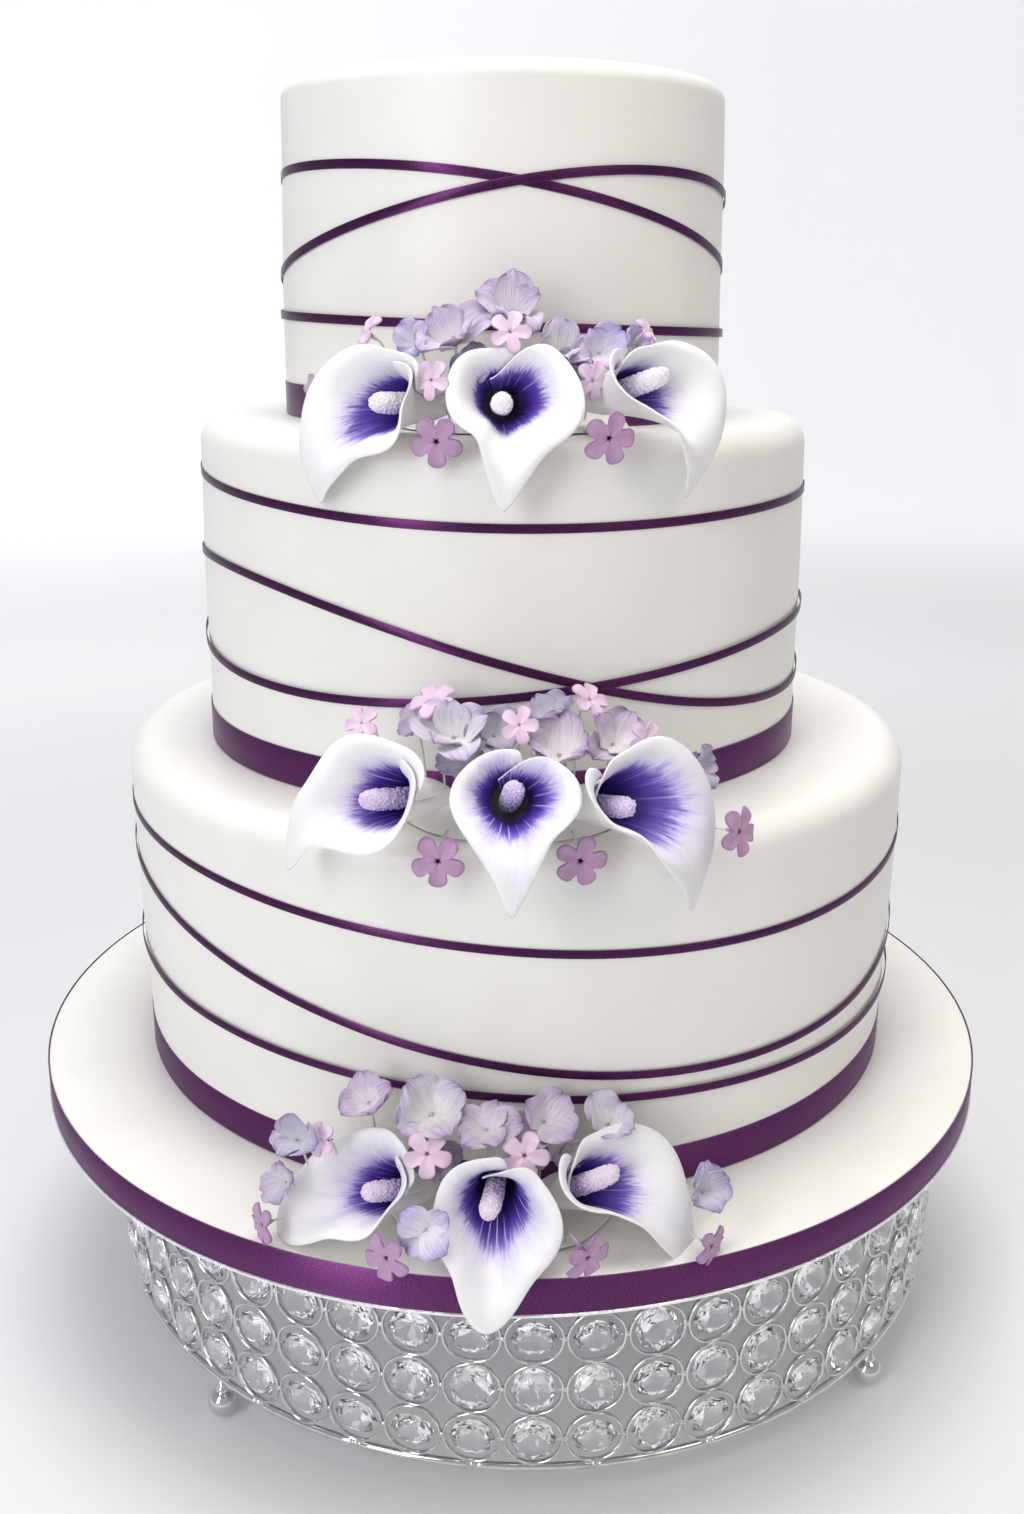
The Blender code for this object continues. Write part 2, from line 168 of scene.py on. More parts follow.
def new_tree(name, kind, **inputs):
    """A node group with named inputs, and its inputs as fields."""
    tree = bpy.data.node_groups.new(name, kind)
    kinds = {float: "Float", int: "Int", str: "Object", type(None): "Material"}
    if kind == "GeometryNodeTree":
        tree.interface.new_socket("Geometry", in_out="INPUT", socket_type="NodeSocketGeometry")
    for label, default in inputs.items():
        socket = tree.interface.new_socket(
            label.replace("_", " "), in_out="INPUT", socket_type="NodeSocket" + kinds[type(default)])
        if isinstance(default, (float, int)):
            socket.default_value = default
    return tree, Field(tree.nodes.new("NodeGroupInput").outputs[0])


def give(tree, **results):
    """Adds a node group's named outputs, and fills them."""
    kinds = {"Normal": "NodeSocketVector", "Geometry": "NodeSocketGeometry"}
    for label in results:
        kind = kinds.get(label, "NodeSocketFloat")
        tree.interface.new_socket(label.replace("_", " "), in_out="OUTPUT", socket_type=kind)
    ending = tree.nodes.new("NodeGroupOutput")
    for label, value in results.items():
        fill(ending.inputs[label.replace("_", " ")], value)


def give_painted(tree, taken, geometry):
    """Ends a Geometry Nodes tree: what it set out becomes real mesh, in the material that it was given."""
    real = node(tree, "GeometryNodeRealizeInstances", Geometry=geometry)
    give(tree, Geometry=node(tree, "GeometryNodeSetMaterial", Geometry=real, Material=taken["Material"]))


def place_group(tree, group, **inputs):
    made = tree.nodes.new("ShaderNodeGroup")
    made.node_tree = group
    for label, value in inputs.items():
        fill(made.inputs[label.replace("_", " ")], value)
    return Field(made.outputs[0])


def set_shader(material, **values):
    """Sets or links the Principled shader's own sockets. What is the same all over is a plain value."""
    for label, value in values.items():
        fill(material.node_tree.nodes["Principled BSDF"].inputs[label.replace("_", " ")], value)
    return material


def new_material(name, **values):
    made = bpy.data.materials.new(name)
    made.use_nodes = True
    return set_shader(made, **values), made.node_tree


# %% Helpers for pieces
def add_object(name, mesh):
    obj = bpy.data.objects.new(name, mesh)
    bpy.context.scene.collection.objects.link(obj)
    return obj


def settled(obj):
    """Turns an object's modifiers into plain mesh, and takes them off."""
    bpy.context.view_layer.update()
    depsgraph = bpy.context.evaluated_depsgraph_get()
    mesh = bpy.data.meshes.new_from_object(obj.evaluated_get(depsgraph), depsgraph=depsgraph)
    obj.modifiers.clear()
    obj.data = mesh
    mesh.name = obj.name
    return obj


def softened(obj, levels):
    soft = obj.modifiers.new("Soft", "SUBSURF")
    soft.levels = soft.render_levels = levels


def grown(name, tree, base, **inputs):
    """Runs a Geometry Nodes tree on a mesh, with its inputs by label, and keeps the result as plain mesh."""
    obj = add_object(name, base)
    modifier = obj.modifiers.new("Grow", "NODES")
    modifier.node_group = tree
    labels = {item.name: item.identifier for item in tree.interface.items_tree if item.in_out == "INPUT"}
    for label, value in inputs.items():
        modifier[labels[label.replace("_", " ")]] = value
    return settled(obj)


def keep(piece, slot, *nodes):
    """Keeps a finished piece: it rides on the body, and hides the solids that it stands for."""
    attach(piece, "root")
    if nodes:
        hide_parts(*nodes)
    piece.data.calc_loop_triangles()
    print(f"{piece.name}: {len(piece.data.loop_triangles)} triangles")


def keep_mesh(name, mesh, material, slot, *nodes, sharp=None):
    """The same for a mesh that needs nothing but its material. Edges over sharp degrees stay crisp."""
    if sharp:
        mesh.set_sharp_from_angle(angle=radians(sharp))
    mesh.materials.append(material)
    keep(add_object(name, mesh), slot, *nodes)


def mesh_from(name, points, faces=(), edges=(), smooth=True):
    mesh = bpy.data.meshes.new(name)
    mesh.from_pydata([tuple(p) for p in points], edges, faces)
    if faces:
        mesh.polygons.foreach_set("use_smooth", [smooth] * len(mesh.polygons))
    return mesh


def mesh_of(name, shape):
    """Writes out a bmesh and frees it."""
    mesh = bpy.data.meshes.new(name)
    shape.to_mesh(mesh)
    shape.free()
    return mesh


def closed_mesh(mesh, smooth=True):
    """Fills any open ends of a mesh, and turns all its faces outwards."""
    shape = bmesh.new()
    shape.from_mesh(mesh)
    bmesh.ops.holes_fill(shape, edges=[edge for edge in shape.edges if edge.is_boundary])
    bmesh.ops.recalc_face_normals(shape, faces=shape.faces)
    made = mesh_of(mesh.name, shape)
    made.polygons.foreach_set("use_smooth", [smooth] * len(made.polygons))
    return made


def merged(name, meshes):
    shape = bmesh.new()
    for mesh in meshes:
        shape.from_mesh(mesh)
    return mesh_of(name, shape)


def skinned(name, rings, joined=False):
    """A closed skin through rings of points, which is capped at both ends or joined into a loop."""
    sides, faces = len(rings[0]), []
    for i in range(len(rings) - (not joined)):
        low, high = i * sides, (i + 1) % len(rings) * sides
        faces += [(low + k, high + k, high + (k + 1) % sides, low + (k + 1) % sides) for k in range(sides)]
    if not joined:
        faces += [tuple(range(sides)), tuple((len(rings) - 1) * sides + k for k in reversed(range(sides)))]
    return mesh_from(name, [point for ring in rings for point in ring], faces)


def spun(profile, segments, x=0.0, y=0.0, bump=None):
    """Turns (radius, height) points about +Z. They run from the bottom middle up the outside to the top
    middle. bump gives how far the surface stands out at an azimuth and height."""
    points, faces = [(x, y, profile[0][1])], []
    for radius, z in profile[1:-1]:
        for k in range(segments):
            azimuth = k * tau / segments
            reach = radius + (bump(azimuth, z) if bump else 0.0)
            points.append((x + reach * sin(azimuth), y - reach * cos(azimuth), z))
    points.append((x, y, profile[-1][1]))
    top = 1 + (len(profile) - 3) * segments
    for k in range(segments):
        after = (k + 1) % segments
        faces.append((0, 1 + after, 1 + k))
        for low in range(1, top, segments):
            faces.append((low + k, low + after, low + segments + after, low + segments + k))
        faces.append((top + k, top + after, len(points) - 1))
    return points, faces


def arc(centre_r, centre_z, radius, start, end, steps):
    """(radius, height) points of a round edge, with angles in degrees from level outwards."""
    turns = [radians(start + (end - start) * i / steps) for i in range(steps + 1)]
    return [(centre_r + radius * cos(a), centre_z + radius * sin(a)) for a in turns]


def between(low, high, share):
    """How far along low..high a value is, from 0 to 1 with a soft start and end."""
    share = np.clip((share - low) / (high - low), 0.0, 1.0)
    return share * share * (3 - 2 * share)


# %% [markdown]
# ## Effects that several finishes share
#
# Sugar paste, petals and the mound under the flowers all have the same skin: a very fine grain from icing
# sugar and cornflour, over a soft, hand-smoothed waviness. That belongs in one shader group, and each
# material places it with its own sizes. The satin's weave and the petals' rays are two more.

# %% The sugar skin
sugar_skin, taken = new_tree(
    "Sugar skin", "ShaderNodeTree", Grain_size=0.0006, Grain_depth=0.00003, Wave_size=0.03, Wave_depth=0.0002)
place = coordinates(sugar_skin)
grain = noise_of(place, sum_of("DIVIDE", 1.0, taken["Grain size"]), 3)
wave = noise_of(place, sum_of("DIVIDE", 1.0, taken["Wave size"]), 2)
relief = bumped(grain * taken["Grain depth"] + wave * taken["Wave depth"])
give(sugar_skin, Tone=remap(wave, 0.3, 0.7), Normal=relief)

# %% The satin's weave
STITCH = 0.0008  # one stitch of the selvedge, the firm thread along each edge
satin_weave, taken = new_tree("Satin weave", "ShaderNodeTree", Width=0.014, Thread=0.0003)
along = coordinates(satin_weave, "UV")
parts = split(along)
threads = node(satin_weave, "ShaderNodeVectorMath", along, (0.45, 1.0, 1.0), operation="MULTIPLY")
fine = noise_of(threads, sum_of("DIVIDE", 0.9, taken["Thread"]), 2, 0.6)
edge = taken["Width"] * 0.5 - sum_of("ABSOLUTE", parts[1])
selvedge = remap(edge, 0.00015, 0.0004, 1.0, 0.0)
stitches = sum_of("SINE", parts[0] * (tau / STITCH))
dashes = selvedge * remap(stitches, -0.4, 0.6, 0.35, 1.0)
relief = bumped(fine * (taken["Thread"] * 0.07) + dashes * 0.00005)
give(satin_weave, Glint=remap(fine, 0.38, 0.66), Selvedge=dashes, Normal=relief)

# %% The petals' rays
# A petal's UV map runs across it in U, and from its base to its rim in V.
petal_rays, taken = new_tree("Petal rays", "ShaderNodeTree", Rays=60.0, Length=2.5, Different=0.0)
parts = split(coordinates(petal_rays, "UV"))
ray_place = vector_of(petal_rays, parts[0] * taken["Rays"], parts[1] * taken["Length"], taken["Different"])
lines = node(
    petal_rays, "ShaderNodeTexVoronoi", W=parts[0] * taken["Rays"] + taken["Different"], Scale=1.0,
    voronoi_dimensions="1D", feature="DISTANCE_TO_EDGE")
thin = remap(lines["Distance"], 0.025, 0.09, 1.0, 0.0)
scratches = thin * remap(noise_of(ray_place, 0.6, 1), 0.40, 0.55)
give(petal_rays, Rays=noise_of(ray_place, 1.0, 4, 0.6), Base_to_rim=parts[1], Scratches=scratches)
print("shader groups:", [g.name for g in bpy.data.node_groups])


# %% Sugar paste
def sugar_skin_in(tree, grain, wave):
    """The sugar skin with its (size, depth) of grain and of wave."""
    return place_group(tree, sugar_skin, Grain_size=grain[0], Grain_depth=grain[1],
                       Wave_size=wave[0], Wave_depth=wave[1])


def sugar_material(name, dark, light, rough=(0.38, 0.5), grain=(0.0006, 0.00003), wave=(0.03, 0.0002)):
    """Plain sugar paste between two close colours."""
    made, tree = new_material(name)
    skin = sugar_skin_in(tree, grain, wave)
    return set_shader(made, Base_Color=blend(skin["Tone"], dark, light),
                      Roughness=remap(skin["Tone"], 0.0, 1.0, *rough), Normal=skin["Normal"])


# %% [markdown]
# ## The tiers
#
# Each tier is a cake under a sheet of rolled sugar paste. The sheet hangs nearly upright, turns over the edge
# in a soft curve, and is tucked in at the foot. A turned profile gives all of that. A little noise on the
# radius keeps the wall from looking machined, and the ribbons read the same wall later, so they lie on it
# exactly.

# %% Sizes of the tiers
LEAN = {"bottom": 1.3, "middle": -1.7, "top": -2.1}  # mm, how much wider a wall is at its edge
EDGE = {"bottom": 10.0, "middle": 10.0, "top": 6.5}  # mm, rounding of the top edge
FULLNESS = 0.35 * MM  # how much the wall swells halfway up
UNEVEN, UNEVEN_SIZE = 0.45 * MM, 50 * MM


def read_tier(name):
    low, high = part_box(f"tier_{name}")
    return {
        "x": (low.x + high.x) / 2, "y": (low.y + high.y) / 2, "low": low.z, "high": high.z,
        "foot": (high.x - low.x) / 2 - max(LEAN[name], 0) * MM,
        "lean": LEAN[name] * MM, "edge": EDGE[name] * MM,
    }


tiers = {name: read_tier(name) for name in ("bottom", "middle", "top")}


def unevenness(tier, azimuth, z):
    place = (3 * sin(azimuth), 3 * cos(azimuth), z / UNEVEN_SIZE + 10 * tier["foot"])
    return UNEVEN * noise.noise(Vector(place))


def smooth_wall(tier, z):
    share = min(max((z - tier["low"]) / (tier["high"] - tier["edge"] - tier["low"]), 0.0), 1.0)
    return tier["foot"] + tier["lean"] * share + FULLNESS * sin(pi * share)


def wall_radius(tier, azimuth, z):
    return smooth_wall(tier, z) + unevenness(tier, azimuth, z)


for name, tier in tiers.items():
    print(name, {key: round(value / MM, 1) for key, value in tier.items()})

# %% The tiers' sugar paste
fondant = sugar_material("fondant", (0.815, 0.80, 0.765), (0.845, 0.832, 0.80), (0.36, 0.46))
TIER_SEGMENTS, TIER_LEVELS = 160, 26
LIFT = 0.3 * MM  # the sheet is cut clear of what the tier stands on
TUCK, TUCK_HEIGHT = 0.5 * MM, 1.0 * MM
DIP = 0.25 * MM  # how far the top sinks towards its middle


def tier_profile(tier):
    side_top, low, foot = tier["high"] - tier["edge"], tier["low"], tier["foot"]
    profile = [(0.0, low), (foot - 2 * MM, low), (foot - 0.5 * MM, low + 0.1 * MM)]
    for i in range(TIER_LEVELS + 1):
        z = low + (side_top - low) * i / TIER_LEVELS
        profile.append((smooth_wall(tier, z) - TUCK * exp(-(z - low) / TUCK_HEIGHT), z + LIFT))
    flat = foot + tier["lean"] - tier["edge"]
    profile += arc(flat, side_top, tier["edge"], 6, 90, 12)
    shares = (0.97, 0.9, 0.75, 0.5, 0.25, 0.08, 0)
    return profile + [(flat * share, tier["high"] - DIP * (1 - share)) for share in shares]


for name, tier in tiers.items():
    shell = spun(tier_profile(tier), TIER_SEGMENTS, tier["x"], tier["y"],
                 lambda azimuth, z, tier=tier: unevenness(tier, azimuth, z))
    keep_mesh(f"fondant_tier_{name}", mesh_from(name, *shell), fondant, "fondant", f"tier_{name}")

# %% [markdown]
# ## The drum
#
# The cake stands on a thick board. It is wrapped in embossed silver foil, iced on top with the same paste,
# and its edge is hidden by a satin ribbon, under which a thin line of foil shows.

# %% The drum's board
foil, tree = new_material("silver foil", Metallic=0.6, Base_Color=(0.93, 0.93, 0.93))
place = coordinates(tree)
wrinkles = node(tree, "ShaderNodeTexVoronoi", Vector=place, Scale=260.0, feature="DISTANCE_TO_EDGE")
set_shader(foil, Normal=bumped(remap(wrinkles["Distance"], 0.0, 0.12, 0.0, 0.00012)),
           Roughness=remap(noise_of(place, 90.0), 0.3, 0.7, 0.25, 0.4))

low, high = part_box("drum_board")
board_radius, fold = (high.x - low.x) / 2, 0.3 * MM
lip_radius = board_radius + 0.9 * MM  # the foil is doubled over at the bottom, below the ribbon
profile = [(0.0, low.z)] + arc(lip_radius - fold, low.z + fold, fold, -90, 0, 3)
profile += [(lip_radius, low.z + 0.9 * MM), (board_radius, low.z + 1.3 * MM)]
profile += [(board_radius, high.z), (0.0, high.z)]
keep_mesh("foil_board", mesh_from("board", *spun(profile, 256)), foil, "foil", "drum_board", sharp=60)

# %% The drum's icing
ICING_EDGE = 1.2 * MM
HOLLOW, HOLLOW_SIZE = 0.35 * MM, 40 * MM  # shallow hollows where the icing was smoothed by hand
low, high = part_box("drum_icing")
icing_radius, icing_top = (high.x - low.x) / 2, high.z
profile = [(0.0, low.z), (icing_radius, low.z)]
profile += arc(icing_radius - ICING_EDGE, icing_top - ICING_EDGE, ICING_EDGE, 0, 90, 5)
profile += [(icing_radius * share, icing_top) for share in (0.98, 0.94, 0.88, 0.8, 0.6, 0.3, 0)]
points, faces = spun(profile, 192)
for i, (x, y, z) in enumerate(points):
    if z > icing_top - 0.1 * MM:
        points[i] = (x, y, z - HOLLOW * (0.5 + 0.5 * noise.noise(Vector((x, y, 0)) / HOLLOW_SIZE)))
keep_mesh("drum_icing_sheet", mesh_from("icing", points, faces), fondant, "fondant", "drum_icing")

# %% [markdown]
# ## The ribbons
#
# Double-faced satin in plum. A wide one hides the join at the foot of each tier, and a narrow one is wound
# three times round it in tilted loops that cross in front. A ribbon is a flat profile carried along a path,
# which is what Curve to Mesh does. The path's normals are set to Z Up, so that the ribbon stays flat against
# an upright wall. The tree also writes a UV map in metres, along and across, for the weave to follow.

# %% The ribbon tree
ribbon_tree, taken = new_tree("Ribbon", "GeometryNodeTree", Width=0.014, Thickness=0.0004, Material=None)
path = node(ribbon_tree, "GeometryNodeMeshToCurve", Mesh=taken["Geometry"])
upright = node(ribbon_tree, "GeometryNodeSetCurveNormal", Curve=path, mode="Z_UP")
flat = node(
    ribbon_tree, "GeometryNodeCurvePrimitiveQuadrilateral", Width=taken["Thickness"], Height=taken["Width"])
rounded = node(
    ribbon_tree, "GeometryNodeFilletCurve", Curve=flat, Radius=taken["Thickness"] * 0.4, mode="POLY")
finer = node(ribbon_tree, "GeometryNodeResampleCurve", Curve=rounded, mode="EVALUATED")


def captured(curve, field, name):
    """Remembers a number on each point of a curve, for use after it is a mesh."""
    capture = ribbon_tree.nodes.new("GeometryNodeCaptureAttribute")
    capture.capture_items.new("FLOAT", name)
    fill(capture.inputs["Geometry"], curve)
    fill(capture.inputs[name], field)
    return Field(capture.outputs["Geometry"]), Field(capture.outputs[name])


length = node(ribbon_tree, "GeometryNodeSplineParameter")["Length"]
height = split(node(ribbon_tree, "GeometryNodeInputPosition"))[1]
path, along = captured(upright, length, "along")
profile, across = captured(finer, height, "across")
swept = node(ribbon_tree, "GeometryNodeCurveToMesh", Curve=path, Profile_Curve=profile, Fill_Caps=True)
mapped = node(
    ribbon_tree, "GeometryNodeStoreNamedAttribute", Geometry=swept, Name="UVMap",
    Value=vector_of(ribbon_tree, along, across), data_type="FLOAT2", domain="CORNER")
give_painted(ribbon_tree, taken, mapped)


# %% The satin
SATIN_DARK, SATIN_GLINT, SELVEDGE = (0.107, 0.029, 0.111), (0.20, 0.057, 0.213), (0.42, 0.22, 0.44)


def satin_material(name, width, shade=1.0):
    """Plum satin. Its long threads lie along the ribbon, so they spread a reflection up and down."""
    made, tree = new_material(
        name, Metallic=0.95, Specular_IOR_Level=0.12, Anisotropic=0.93, Anisotropic_Rotation=0.25)
    weave = place_group(tree, satin_weave, Width=width, Thread=0.0003)
    dark, glint, pale = (tuple(c * shade for c in colour) for colour in (SATIN_DARK, SATIN_GLINT, SELVEDGE))
    cloth = blend(weave["Glint"], dark, glint)
    return set_shader(made, Base_Color=blend(weave["Selvedge"] * 0.45, cloth, pale),
                      Roughness=remap(weave["Glint"], 0.0, 1.0, 0.45, 0.41), Normal=weave["Normal"])


def keep_ribbon(name, points, width, thickness, material, node_name):
    path = mesh_from("path", points, edges=[(i, i + 1) for i in range(len(points) - 1)])
    piece = grown(name, ribbon_tree, path, Width=width, Thickness=thickness, Material=material)
    piece.data.shade_smooth()
    keep(piece, "satin", node_name)


# %% The wide ribbons
THICKNESS = 0.4 * MM
OVERLAP = radians(5)  # the end of a wide ribbon lies over its start, at the back
WIDE_STEPS = 220


def keep_wide_ribbon(name, node_name, x, y, radius_at):
    """One turn round, from the back, a little past its own start."""
    low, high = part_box(node_name)
    width, middle = high.z - low.z, (high.z + low.z) / 2
    points = []
    for i in range(WIDE_STEPS + 1):
        azimuth = -pi + (tau + OVERLAP) * i / WIDE_STEPS
        over = min(max((azimuth - pi + OVERLAP) / OVERLAP, 0.0), 1.0)
        radius = radius_at(azimuth, middle) + (0.6 + over) * THICKNESS
        points.append((x + radius * sin(azimuth), y - radius * cos(azimuth), middle))
    keep_ribbon(name, points, width, THICKNESS, satin_material(name, width), node_name)


keep_wide_ribbon("satin_round_drum", "drum_ribbon", 0.0, 0.0, lambda azimuth, z: icing_radius)
for name, tier in tiers.items():
    keep_wide_ribbon(f"satin_at_foot_{name}", f"base_ribbon_{name}", tier["x"], tier["y"],
                     lambda azimuth, z, tier=tier: wall_radius(tier, azimuth, z))

# %% The narrow ribbon's three turns
# A turn is a tilted loop: (mean height over the tier's foot, rise, towards, bend, towards), in mm and
# degrees.
TURNS = {
    "top": ((70.6, 19.1, -59, 2.1, 28), (64.3, 20.3, 44, 1.0, 16), (33.8, 3.4, -86, 0.5, 45)),
    "middle": ((101.6, 3.9, -111, 2.6, 79), (51.7, 21.7, -89, 6.7, -46), (49.0, 9.7, 145, 3.2, 52)),
    "bottom": ((103.1, 7.7, -142, 3.9, -58), (72.1, 22.8, -135, 6.2, -68), (44.3, 9.9, -127, 2.1, -9)),
}
NARROW_WIDTH = 3.2 * MM
STEPS_IN_TURN = 180


def turn_height(turn, azimuth):
    level, rise, towards, bend, bend_towards = turn
    return level + rise * cos(azimuth - radians(towards)) + bend * cos(2 * (azimuth - radians(bend_towards)))


def narrow_path(tier, turns):
    """Each turn keeps its own loop in front, and meets the next turn at the back."""
    backs = [turn_height(turn, pi) for turn in turns]
    meets = [backs[0]] + [(a + b) / 2 for a, b in zip(backs, backs[1:])] + [backs[-1]]
    points = []
    for step in range(STEPS_IN_TURN * len(turns) + 1):
        number = min(step // STEPS_IN_TURN, len(turns) - 1)
        azimuth = (step - number * STEPS_IN_TURN) * tau / STEPS_IN_TURN - pi
        own = turn_height(turns[number], azimuth)
        share = between(pi / 2, pi, abs(azimuth))
        z = tier["low"] + (own + (meets[number + (azimuth > 0)] - own) * share) * MM
        radius = wall_radius(tier, azimuth, z) + (0.55 + 0.9 * step / STEPS_IN_TURN) * THICKNESS
        points.append((tier["x"] + radius * sin(azimuth), tier["y"] - radius * cos(azimuth), z))
    return points


narrow_satin = satin_material("narrow satin", NARROW_WIDTH, 0.62)
for name, tier in tiers.items():
    keep_ribbon(f"satin_wound_{name}", narrow_path(tier, TURNS[name]), NARROW_WIDTH, THICKNESS * 0.8,
                narrow_satin, f"narrow_ribbon_{name}")

# %% [markdown]
# ## The stand
#
# Fifty-two columns of wire rings in three rows are welded edge to edge into a wall, with a cut crystal
# threaded on a thin wire across each ring. Modelling one ring and one crystal and letting Geometry Nodes set
# them round the wall is quicker than placing 156 of each, and their sizes stay named inputs.

# %% The tree that sets things round the stand
round_stand, taken = new_tree(
    "Round the stand", "GeometryNodeTree", Thing="", Radius=0.181, Columns=52, Rows=3, First_height=0.0277,
    Row_pitch=0.0217, Turn=0.0, Swing=0.0, Seed=4, Material=None)
circle = node(round_stand, "GeometryNodeMeshCircle", Vertices=taken["Columns"], Radius=taken["Radius"])
turned_circle = node(
    round_stand, "GeometryNodeTransform", Geometry=circle,
    Rotation=vector_of(round_stand, 0, 0, taken["Turn"]))
rows = node(round_stand, "GeometryNodeMeshLine", Count=taken["Rows"],
            Start_Location=vector_of(round_stand, 0, 0, taken["First height"]),
            Offset=vector_of(round_stand, 0, 0, taken["Row pitch"]))
columns = node(round_stand, "GeometryNodeInstanceOnPoints", Points=turned_circle, Instance=rows)
spots = node(round_stand, "GeometryNodeRealizeInstances", Geometry=columns)
place = split(node(round_stand, "GeometryNodeInputPosition"))
facing = sum_of("ARCTAN2", place[1], place[0])
swing = node(round_stand, "FunctionNodeRandomValue", Min=taken["Swing"] * -1.0, Max=taken["Swing"],
             Seed=taken["Seed"], data_type="FLOAT")["Value"]
turn = vector_of(round_stand, swing + pi / 2, 0, facing + pi / 2)
thing = node(round_stand, "GeometryNodeObjectInfo", Object=taken["Thing"])["Geometry"]
placed = node(round_stand, "GeometryNodeInstanceOnPoints", Points=spots, Instance=thing, Rotation=turn)
give_painted(round_stand, taken, placed)

# %% Chrome and crystal
chrome, tree = new_material("chromed wire", Metallic=1.0)
smear = noise_of(coordinates(tree), 140.0, 3)
set_shader(chrome, Roughness=remap(smear, 0.35, 0.7, 0.03, 0.09),
           Base_Color=blend(smear, (0.50, 0.50, 0.51), (0.84, 0.84, 0.85)))

crystal, tree = new_material(
    "cut crystal", Roughness=0.0, IOR=1.57, Transmission_Weight=0.97, Base_Color=(0.98, 0.985, 1.0))
# a stone scatters light on rather than stopping it, so its shadow is kept thin
set_shader(crystal, Alpha=remap(node(tree, "ShaderNodeLightPath")["Is Shadow Ray"], 0.0, 1.0, 1.0, 0.3))

# %% The stand's places
WIRE = 3.2 * MM
RINGS_IN_ROW, RING_ROWS = 52, 3
hoop_low, hoop_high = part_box("stand_lower_hoop_and_feet")
band_low, band_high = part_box("stand_crystal_band")
stand_x = (hoop_low.x + hoop_high.x) / 2
stand_radius = (hoop_high.x - hoop_low.x - WIRE) / 2
hoop_z = band_low.z - 0.3 * MM - WIRE / 2
ring_pitch = tau * stand_radius / RINGS_IN_ROW
ring_radius = ring_pitch / 2 - 0.1 * MM
first_row = hoop_z + 1.3 * MM + ring_radius
row_pitch = (band_high.z - WIRE - ring_radius - first_row) / (RING_ROWS - 1)
to_stand = Matrix.Translation((stand_x, 0, 0))
pitches = round(ring_pitch / MM, 2), round(row_pitch / MM, 2)
print("ring", round(2 * ring_radius / MM, 1), "mm, pitch", *pitches)


def set_round_stand(name, mesh, *nodes, slot="chrome", material=chrome, **sizes):
    """Sets a small mesh, modelled facing +Z with its top at +Y, round the stand."""
    helper = add_object("helper", mesh)
    inputs = {"Radius": stand_radius, "Columns": RINGS_IN_ROW, "Rows": RING_ROWS, "First_height": first_row}
    inputs.update(sizes)
    piece = grown(name, round_stand, mesh_from("start", [(0, 0, 0)]),
                  Thing=helper, Row_pitch=row_pitch, Material=material, **inputs)
    piece.data.transform(to_stand)
    bpy.data.objects.remove(helper)
    keep(piece, slot, *nodes)


# %% The rings
def hoop_mesh(radius, thickness, depth, segments=30, sides=8, phase=0.5):
    """A ring of wire with a rounded section, thickness across and depth front to back."""
    rings = []
    for around in (i * tau / segments for i in range(segments)):
        turns = [(j + phase) * tau / sides for j in range(sides)]
        reaches = [radius - thickness / 2 + thickness / 2 * cos(turn) for turn in turns]
        rings.append([(r * cos(around), r * sin(around), depth / 2 * sin(t)) for r, t in zip(reaches, turns)])
    return skinned("hoop", rings, joined=True)


set_round_stand("stand_rings", hoop_mesh(ring_radius, 1.1 * MM, 2.4 * MM), "stand_crystal_band")

# %% The crystals
CRYSTAL_RADIUS = 8.2 * MM
FACET_ROWS = ((0.30, 0.0, 3.4), (0.68, 0.5, 2.3), (1.0, 0.0, 0.4), (1.0, 0.0, -0.4), (0.60, 0.5, -2.4))
TABLE_HEIGHT, CULET_HEIGHT = 3.4, -4.2


def crystal_mesh():
    """A round cut stone: an eight-sided table, two rows of crown facets, and a pointed back. A row of facets
    is its share of the radius, its turn in eighths, and its height in mm."""
    points, faces = [], []
    for share, shift, z in FACET_ROWS:
        turns = [(k + shift) * tau / 8 for k in range(8)]
        points += [(share * CRYSTAL_RADIUS * cos(t), share * CRYSTAL_RADIUS * sin(t), z * MM) for t in turns]
    points += [(0, 0, TABLE_HEIGHT * MM), (0, 0, CULET_HEIGHT * MM)]
    for k in range(8):
        n = (k + 1) % 8
        faces += [(40, k, n), (k, 8 + k, n), (8 + k, 8 + n, n)]
        faces += [(8 + k, 16 + n, 8 + n), (8 + k, 16 + k, 16 + n)]
        faces += [(16 + k, 24 + k, 24 + n, 16 + n), (24 + k, 32 + k, 24 + n), (32 + k, 32 + n, 24 + n)]
        faces += [(32 + k, 41, 32 + n)]
    return closed_mesh(mesh_from("crystal", points, faces), smooth=False)


set_round_stand(
    "stand_crystals", crystal_mesh(), slot="crystal", material=crystal, Swing=radians(16), Seed=7)


# %% The threads and the weld beads
def bar_mesh(middle, length, radius, sides=6):
    """A short wire along X."""
    turns = [k * tau / sides for k in range(sides)]
    ends = (middle + length / 2, middle - length / 2)
    return skinned("bar", [[(x, radius * cos(turn), radius * sin(turn)) for turn in turns] for x in ends])


def bead_mesh(radius, stretch=1.0):
    shape = bmesh.new()
    bmesh.ops.create_uvsphere(shape, u_segments=10, v_segments=6, radius=radius)
    bmesh.ops.scale(shape, verts=shape.verts, vec=(stretch, 1, 1))
    mesh = mesh_of("bead", shape)
    mesh.shade_smooth()
    return mesh


